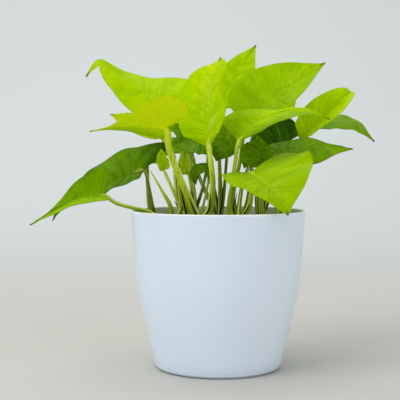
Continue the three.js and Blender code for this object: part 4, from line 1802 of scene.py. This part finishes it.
STEMS = (
    Stem(
        name="left_front",
        slot="leaf_green",
        foot=(-43, -17),
        top=(-41, -18, 130),
        leaves=(
            Leaf(
                joint=(-96, -28, 151),
                rib=((-115, -34, 149.5), (-136, -38, 139), (-157, -40, 126)),
                face=(-0.1, -0.45, 0.88), width=(13, 31), fold=(5, 42), curl=(-10, 15),
                lobe=(0.3, 0.3), sweep=(0, 0.05), taper=(0.5, 1.2), nip=(0.52, 0.12, 0, 0.2),
                via=((-60, -20, 136.5), (-72, -22, 139.8), (-86, -25, 144)), age=0.48,
                fade=(-0.2, 0.04, 0.0, 0.0), gleam=0.0, ruffle=1.4,
            ),
            Leaf(
                joint=(-47, -8, 173.5), rib=((-49, -9, 181.5), (-48.5, -10, 191)),
                face=(0.4, -0.8, 0.4), width=(7, 7), fold=(30, 30), thick=0.8,
                via=((-33, -10, 137), (-38, -9, 152)), age=0.15,
            ),
        ),
        shoots=(((-40, -20, 139), (-48, -21, 155), (-57.5, -22, 171.5)),),
    ),
    Stem(
        name="left_back",
        slot="leaf_dark",
        foot=(-52, 12),
        top=(-56, 14, 129),
        leaves=(
            Leaf(
                joint=(-66, 10, 172),
                rib=((-87, 9, 164), (-114, 3, 149), (-137, -5, 137.5), (-144, -7, 127.5)),
                face=(-0.1, -0.8, 0.55), width=(20, 31), fold=(38, 5), curl=(0, -20),
                lobe=(0.2, 2.6), sweep=(-0.1, 0.05), taper=(0.7, 0.3), wave=(1.2, 3, 0),
                thick=0.85, via=((-58, 10, 140), (-61, 12, 155)), age=0.66,
                fade=(0.0, 0.0, 0.22, 0.0), gleam=0.0, ruffle=2.2,
            ),
            Leaf(
                joint=(-66, 42, 178), rib=((-76, 56, 184), (-85, 72, 180), (-90, 86, 170)),
                face=(-0.2, 0.1, 0.95), width=(24, 24), fold=(10, 10), curl=(-20, -20),
                via=((-62, 28, 140), (-64, 34, 160)), age=0.5,
            ),
        ),
    ),
    Stem(
        name="centre_front",
        slot="leaf_lime",
        foot=(-14, -28),
        top=(-15, -28, 131),
        leaves=(
            Leaf(
                joint=(-44, -34, 207), rib=((-65, -38, 209), (-85, -42, 208), (-106, -46, 204)),
                face=(0, 0.59, 0.81), face_tip=(0, 0.25, 0.97), width=(40, 16), fold=(19, -5),
                lobe=(2.4, 1), sweep=(0, 0), taper=(1.15, 0.5), thick=1.6,
                via=((-21, -29, 139), (-25, -30, 149), (-33, -31, 168), (-41, -33, 190)), age=0.0,
                fade=(-0.04, 0.42, -0.09, 0.2),
            ),
            Leaf(
                joint=(-8, -30, 191.5),
                rib=((-7, -35, 217), (-5, -38, 240), (0, -35, 258), (2.5, -24, 267)),
                face=(-0.35, -0.9, 0.2), width=(27, 14.5), fold=(8, 25), curl=(-10, 0),
                lobe=(0, 0), sweep=(-0.1, -0.2), taper=(-0.3, -1.2), nip=(0.62, 0.12, 0, 0.55),
                wave=(1.5, 3, 1), thick=1.4,
                via=((-7, -27, 138), (-5.5, -28, 148), (-4.4, -29, 162), (-6, -30, 178)), age=0.1,
                fade=(-0.02, 0.04, 0.24, 0.0), gleam=1.0,
            ),
            Leaf(
                joint=(-8, -8, 169.5), rib=((-13, -10, 173.5), (-20, -12, 168), (-19, -12, 159)),
                face=(-0.2, -0.5, 0.85), width=(8, 9), fold=(10, 10), thick=0.6,
                via=((-13, -20, 140), (-9, -12, 158)), age=0.66,
            ),
        ),
    ),
    Stem(
        name="centre_left",
        slot="leaf_lime",
        foot=(-26, 4),
        top=(-26, 6, 131),
        leaves=(
            Leaf(
                joint=(-33, 8, 223),
                rib=((-59, 2, 237), (-84, -2, 254), (-103, -4, 267), (-114, -8, 252)),
                face=(0.15, -0.8, 0.55), face_tip=(0, -0.3, 0.95), width=(25, 44), fold=(-35, 0),
                lobe=(0.1, 1), taper=(0, 1.1), via=((-21, 4, 140), (-24, 6, 170)), age=0.11,
                gleam=0.4, ruffle=1.6,
            ),
            Leaf(
                joint=(-8, 4, 192), rib=((-17, 3, 195), (-29, 1, 196), (-43, 0, 195)),
                face=(0, -0.6, 0.8), width=(15, 10), fold=(8, 8), lobe=(0.3, 0.3),
                taper=(-0.8, -0.8), thick=0.8, via=((-17, 8, 145), (-11, 10, 168)), age=0.66,
                fade=(0.0, 0.0, 0.1, -0.06), gleam=0.1,
            ),
            Leaf(
                joint=(-26, 13, 168.5), rib=((-28, 13, 181), (-29.5, 13, 193)), face=(0, -1, 0.2),
                width=(7, 5.5), fold=(20, 20), lobe=(0, 0), thick=0.7, via=((-23, 11, 145),),
                age=0.1, gleam=0.7,
            ),
            Leaf(
                joint=(-28, 12, 198), rib=((-34, 8, 206), (-40, 3, 214), (-46, 0, 221)),
                face=(0, -0.6, 0.8), width=(14, 14), fold=(5, 5), thick=0.8,
                via=((-33, 10, 145), (-35, 17, 175)), age=0.44,
            ),
            Leaf(
                joint=(-55, 11, 205), rib=((-67, 12, 211), (-80, 11, 215.5), (-95, 10, 221)),
                face=(0, -0.75, 0.65), width=(11, 8), fold=(10, 5), taper=(-0.6, -1), thick=0.8,
                via=((-30, 6, 145), (-35, 6, 168), (-42, 8, 191)), age=0.0, gleam=1.0,
            ),
            Leaf(
                joint=(-54, 40, 207), rib=((-62, 58, 216), (-70, 78, 218), (-74, 94, 210)),
                face=(-0.1, 0, 1), width=(22, 22), fold=(12, 12), curl=(-20, -20),
                via=((-25, 22, 142), (-34, 31, 165), (-46, 38, 192)), age=0.27,
            ),
            Leaf(
                joint=(-40, 28, 187), rib=((-45, 36, 191.5), (-49, 44, 190), (-51, 51, 184)),
                face=(-0.1, -0.2, 1), width=(11, 11), fold=(10, 10), curl=(-20, -20), thick=0.9,
                via=((-35, 10, 143), (-38, 17, 162)), age=0.33,
            ),
        ),
    ),
    Stem(
        name="centre_back",
        slot="leaf_lime",
        foot=(2, 22),
        top=(1, 24, 131),
        leaves=(
            Leaf(
                joint=(1, 27, 228), rib=((14, 28, 253), (34, 26, 284)), face=(-0.2, -0.95, 0.25),
                width=(18, 22), fold=(5, 15), lobe=(0.3, 0.3), sweep=(0, -0.15),
                via=((2, 25, 150), (1, 26, 190)), age=0.18, ruffle=1.5,
            ),
            Leaf(
                joint=(11, 19, 209.5), rib=((8, 14, 203.5), (4, 11, 192), (-2, 10, 179.5)),
                face=(0, -0.9, 0.4), width=(12, 17), fold=(0, 0), taper=(-0.8, -0.6), thick=0.8,
                via=((5, 22, 150), (8, 23, 185)), age=0.6,
            ),
            Leaf(
                joint=(-7, 46, 208), rib=((-8, 66, 219), (-7, 90, 219), (-5, 108, 206)),
                face=(0, 0, 1), width=(24, 24), fold=(12, 12), curl=(-20, -20),
                via=((-2, 30, 145), (-9, 38, 175)), age=0.3,
            ),
            Leaf(
                joint=(-26, 54, 192), rib=((-32, 72, 200), (-38, 94, 202), (-40, 112, 194)),
                face=(-0.15, 0, 1), width=(22, 22), fold=(12, 12), curl=(-20, -20),
                via=((-8, 36, 145), (-20, 46, 172)), age=0.45,
            ),
        ),
    ),
    Stem(
        name="right_front",
        slot="leaf_lime",
        foot=(16, -24),
        top=(17, -24, 131),
        leaves=(
            Leaf(
                joint=(17, -34, 196),
                rib=((27, -36, 207), (48, -37, 218.5), (71, -39, 222), (92, -44, 214)),
                face=(-0.45, -0.8, 0.4), face_tip=(0.1, -0.75, 0.65), width=(39, 11),
                fold=(-10, 32), lobe=(0, 0), sweep=(0.0, -0.12), taper=(1.9, -1.5), thick=1.05,
                via=((10, -24, 139), (12, -22, 160), (15, -25, 182)), age=0.2,
                fade=(-0.06, 0.3, 0.22, -0.16),
            ),
            Leaf(
                joint=(28, -26, 170), rib=((36, -44, 164), (47, -62, 152), (56, -70, 136)),
                face=(-0.2, -0.5, 0.85), width=(49, 32), fold=(10, 20), curl=(-15, 0),
                lobe=(1, 0.85), taper=(0, 0.35), wave=(1.5, 3, 0),
                via=((27, -20, 142), (29, -18, 158)), age=0.17, fade=(0.04, 0.04, 0.22, 0.16),
                gleam=0.4, ruffle=4.0,
            ),
            Leaf(
                joint=(30, -14, 192), rib=((26, -15, 183.5), (22, -15, 173)), face=(0, -0.9, 0.4),
                width=(8.5, 8.5), fold=(5, 5), thick=0.9,
                via=((18, -21, 142), (21, -14, 160), (27, -11.5, 178)), age=0.62,
                fade=(0.0, 0.0, 0.12, 0.0),
            ),
        ),
    ),
    Stem(
        name="right_low",
        slot="leaf_dark",
        foot=(38, -6),
        top=(38, -6, 130),
        leaves=(
            Leaf(
                joint=(47, 0, 184), rib=((71, -3, 192), (95, -4, 193), (117, -2, 190)),
                face=(0, -0.6, 0.8), width=(20, 27), fold=(-5, -5), taper=(0.8, 0),
                wave=(2, 3.5, 2), via=((40, -4, 145), (44, 1, 168)), age=0.52,
                fade=(0.0, 0.0, 0.16, -0.12), gleam=0.0,
            ),
            Leaf(
                joint=(37, -4, 178), rib=((35, -4, 188), (33, -2, 197), (30.5, 0, 205)),
                face=(0.2, -0.9, 0.3), width=(11, 11), fold=(10, 10), thick=0.7,
                via=((38, -8, 152),), age=0.58,
            ),
        ),
    ),
    Stem(
        name="right_centre",
        slot="leaf_green",
        foot=(22, 12),
        top=(21, 12, 131),
        leaves=(
            Leaf(
                joint=(25, 6, 214), rib=((44, 2, 231), (69, 0, 249), (93, 0, 265)),
                face=(-0.3, -0.85, 0.45), width=(36, 27), fold=(6, 24), lobe=(0.4, 1),
                via=((13, 9, 142), (19, 7, 178)), age=0.29, fade=(0.0, 0.04, 0.1, -0.04),
            ),
            Leaf(
                joint=(32, 28, 203), rib=((46, 31, 212), (62, 32, 212), (78, 32, 205)),
                face=(0.1, -0.92, 0.4), width=(12, 31), fold=(8, 8), taper=(0, -0.5),
                via=((26, 18, 142), (30, 26, 170)), age=0.87, gleam=0.0,
            ),
        ),
    ),
    Stem(
        name="far_right",
        slot="leaf_green",
        foot=(54, 8),
        top=(53, 9, 130),
        leaves=(
            Leaf(
                joint=(73, 20, 197),
                rib=((86, 21, 214), (103, 23, 230), (117, 28, 241), (119, 38, 243)),
                face=(0, -0.85, 0.5), face_tip=(0.4, -0.8, 0.3), width=(15, 16), fold=(5, 62),
                lobe=(0, 0), sweep=(-0.15, -0.15), taper=(-0.6, -1), nip=(0.6, 0.2, 0.15, 0),
                via=((53, 11, 142), (64, 17, 168)), age=0.13, fade=(0.0, -0.06, 0.04, -0.02),
                ruffle=1.6,
            ),
            Leaf(
                joint=(84, 39, 214), rib=((101, 37, 217), (124, 33, 213), (141, 32, 197)),
                face=(0.1, -0.35, 0.93), width=(18, 17), fold=(0, -12), lobe=(0.6, 0),
                sweep=(0, -0.1), via=((56, 19, 142), (66, 31, 173), (75, 38, 198)), age=0.44,
            ),
        ),
    ),
    Stem(
        name="back_right",
        slot="leaf_green",
        foot=(38, 38),
        top=(39, 40, 130),
        leaves=(
            Leaf(
                joint=(42, 48, 222), rib=((47, 66, 240), (53, 90, 246), (57, 108, 236)),
                face=(0.1, -0.1, 1), width=(27, 27), fold=(12, 12), curl=(-20, -20),
                via=((37, 43, 145), (40, 46, 185)), age=0.25,
            ),
            Leaf(
                joint=(56, 50, 176), rib=((62, 66, 186), (70, 84, 182), (76, 96, 168)),
                face=(0.3, 0.1, 0.95), width=(26, 26), fold=(10, 10), curl=(-20, -20),
                via=((46, 44, 144), (52, 47, 160)), age=0.4,
            ),
            Leaf(
                joint=(40, 66, 158), rib=((46, 80, 162), (54, 98, 154), (60, 110, 140)),
                face=(0, 0.2, 1), width=(26, 26), fold=(10, 10), curl=(-20, -20),
                via=((40, 50, 138), (40, 58, 148)), age=0.55,
            ),
        ),
    ),
)


@dataclass
class Plant:
    """All the leafy stems."""

    stems: tuple[Stem, ...] = STEMS

    def build(self) -> None:
        """Makes every stem."""
        finishes = {age: finish.material() for age, finish in LEAF_FINISHES.items()}
        stalk = StalkTissue().material()
        tubes = tube_tree()
        number = 0
        for stem in self.stems:
            StemBuilder(stem, finishes, stalk, tubes, number).build()
            number += len(stem.leaves)


# The studio


@dataclass(frozen=True)
class StudioPaper:
    """The finish of the floor: plain pale paper, a little warmer near the camera."""

    name: str = "studio_paper"
    near: Colour = srgb(208, 206, 198)
    far: Colour = srgb(226, 230, 229)

    def material(self) -> bpy.types.Material:
        """Makes the material.

        Returns:
            The material.
        """
        shader = Shader(self.name)
        depth = shader.split(shader.place)[1]
        shader.paint(shader.mix(depth.step(0.2, 1.5), self.near, self.far), 0.9)
        shader.bump(shader.noise(300.0, 3.0), 0.0002, 0.2)
        return shader.material


@dataclass(frozen=True)
class Lamp:
    """An area light: its place, its width and height, its power in watts and its colour."""

    name: str
    place: Point
    size: Pair
    watts: float
    colour: Point


@dataclass
class Studio:
    """The floor, the lights and the camera, with places in metres."""

    lens: float = 84.6
    sensor: float = 36.0
    place: Point = (0.0, -0.820, 0.179)
    yaw: float = 1.1
    pitch: float = -2.32
    lamps: tuple[Lamp, ...] = (
        Lamp("key", (-1.5, -1.1, 1.5), (1.6, 1.6), 24, (0.97, 0.99, 1.0)),
        Lamp("fill", (1.5, -1.3, 0.4), (1.4, 1.2), 9, (1.0, 0.99, 0.97)),
        Lamp("top", (-0.2, 0.5, 1.9), (1.6, 1.2), 11, (1.0, 1.0, 0.98)),
    )
    aim: Point = (0.0, 0.0, 0.16)
    sky: Colour = (0.86, 0.89, 0.92, 1.0)
    sky_strength: float = 0.54
    floor_front: float = -3.0
    floor_width: float = 6.0
    sweep_from: float = 0.9
    sweep_radius: float = 0.8
    sweep_top: float = 3.0
    finish: StudioPaper = field(default_factory=StudioPaper)

    def floor(self) -> None:
        """Makes the pale floor, which sweeps up behind the plant."""
        bend = np.linspace(0, math.pi / 2, 25)
        depth = [self.floor_front, *(self.sweep_from + self.sweep_radius * np.sin(bend))]
        height = [0.0, *(self.sweep_radius * (1 - np.cos(bend)))]
        depth.append(depth[-1])
        height.append(self.sweep_top)
        half = self.floor_width / 2
        places = [(x, y, z) for y, z in zip(depth, height) for x in (-half, half)]
        faces = [(2 * i, 2 * i + 1, 2 * i + 3, 2 * i + 2) for i in range(len(depth) - 1)]
        mesh = make_mesh("floor", np.array(places) / MM, faces)
        mesh.materials.append(self.finish.material())
        shade(mesh, True)
        place_object("floor", mesh)

    def lights(self) -> None:
        """Hangs the lights, which look at the plant, and sets the plain surroundings."""
        for lamp in self.lamps:
            data = bpy.data.lights.new(lamp.name, "AREA")
            data.shape = "RECTANGLE"
            data.size, data.size_y = lamp.size
            data.energy = lamp.watts
            data.color = lamp.colour
            light = place_object(lamp.name, data)
            light.location = lamp.place
            way = Vector(self.aim) - Vector(lamp.place)
            light.rotation_euler = way.to_track_quat("-Z", "Y").to_euler()
        world = bpy.data.worlds.new("studio")
        world.use_nodes = True
        inputs = world.node_tree.nodes["Background"].inputs
        inputs["Color"].default_value = self.sky
        inputs["Strength"].default_value = self.sky_strength
        bpy.context.scene.world = world
        bpy.context.scene.view_settings.view_transform = "Standard"

    def camera(self) -> None:
        """Makes the camera at the photograph's place and viewing angle."""
        data = bpy.data.cameras.new("camera")
        data.lens, data.sensor_width = self.lens, self.sensor
        data.clip_start, data.clip_end = 0.05, 20.0
        camera = place_object("camera", data)
        camera.location = self.place
        tilt = math.radians(90 + self.pitch)
        camera.rotation_euler = (tilt, 0.0, math.radians(self.yaw))
        bpy.context.scene.camera = camera

    def build(self) -> None:
        """Makes the whole studio."""
        self.floor()
        self.lights()
        self.camera()


def main() -> None:
    """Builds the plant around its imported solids."""
    logging.basicConfig(level=logging.INFO, format="%(message)s")
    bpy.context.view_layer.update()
    Studio().build()
    pot = Pot()
    pot.build()
    Soil(pot, [stem.foot for stem in STEMS]).build()
    Plant().build()


if __name__ == "__main__":
    main()
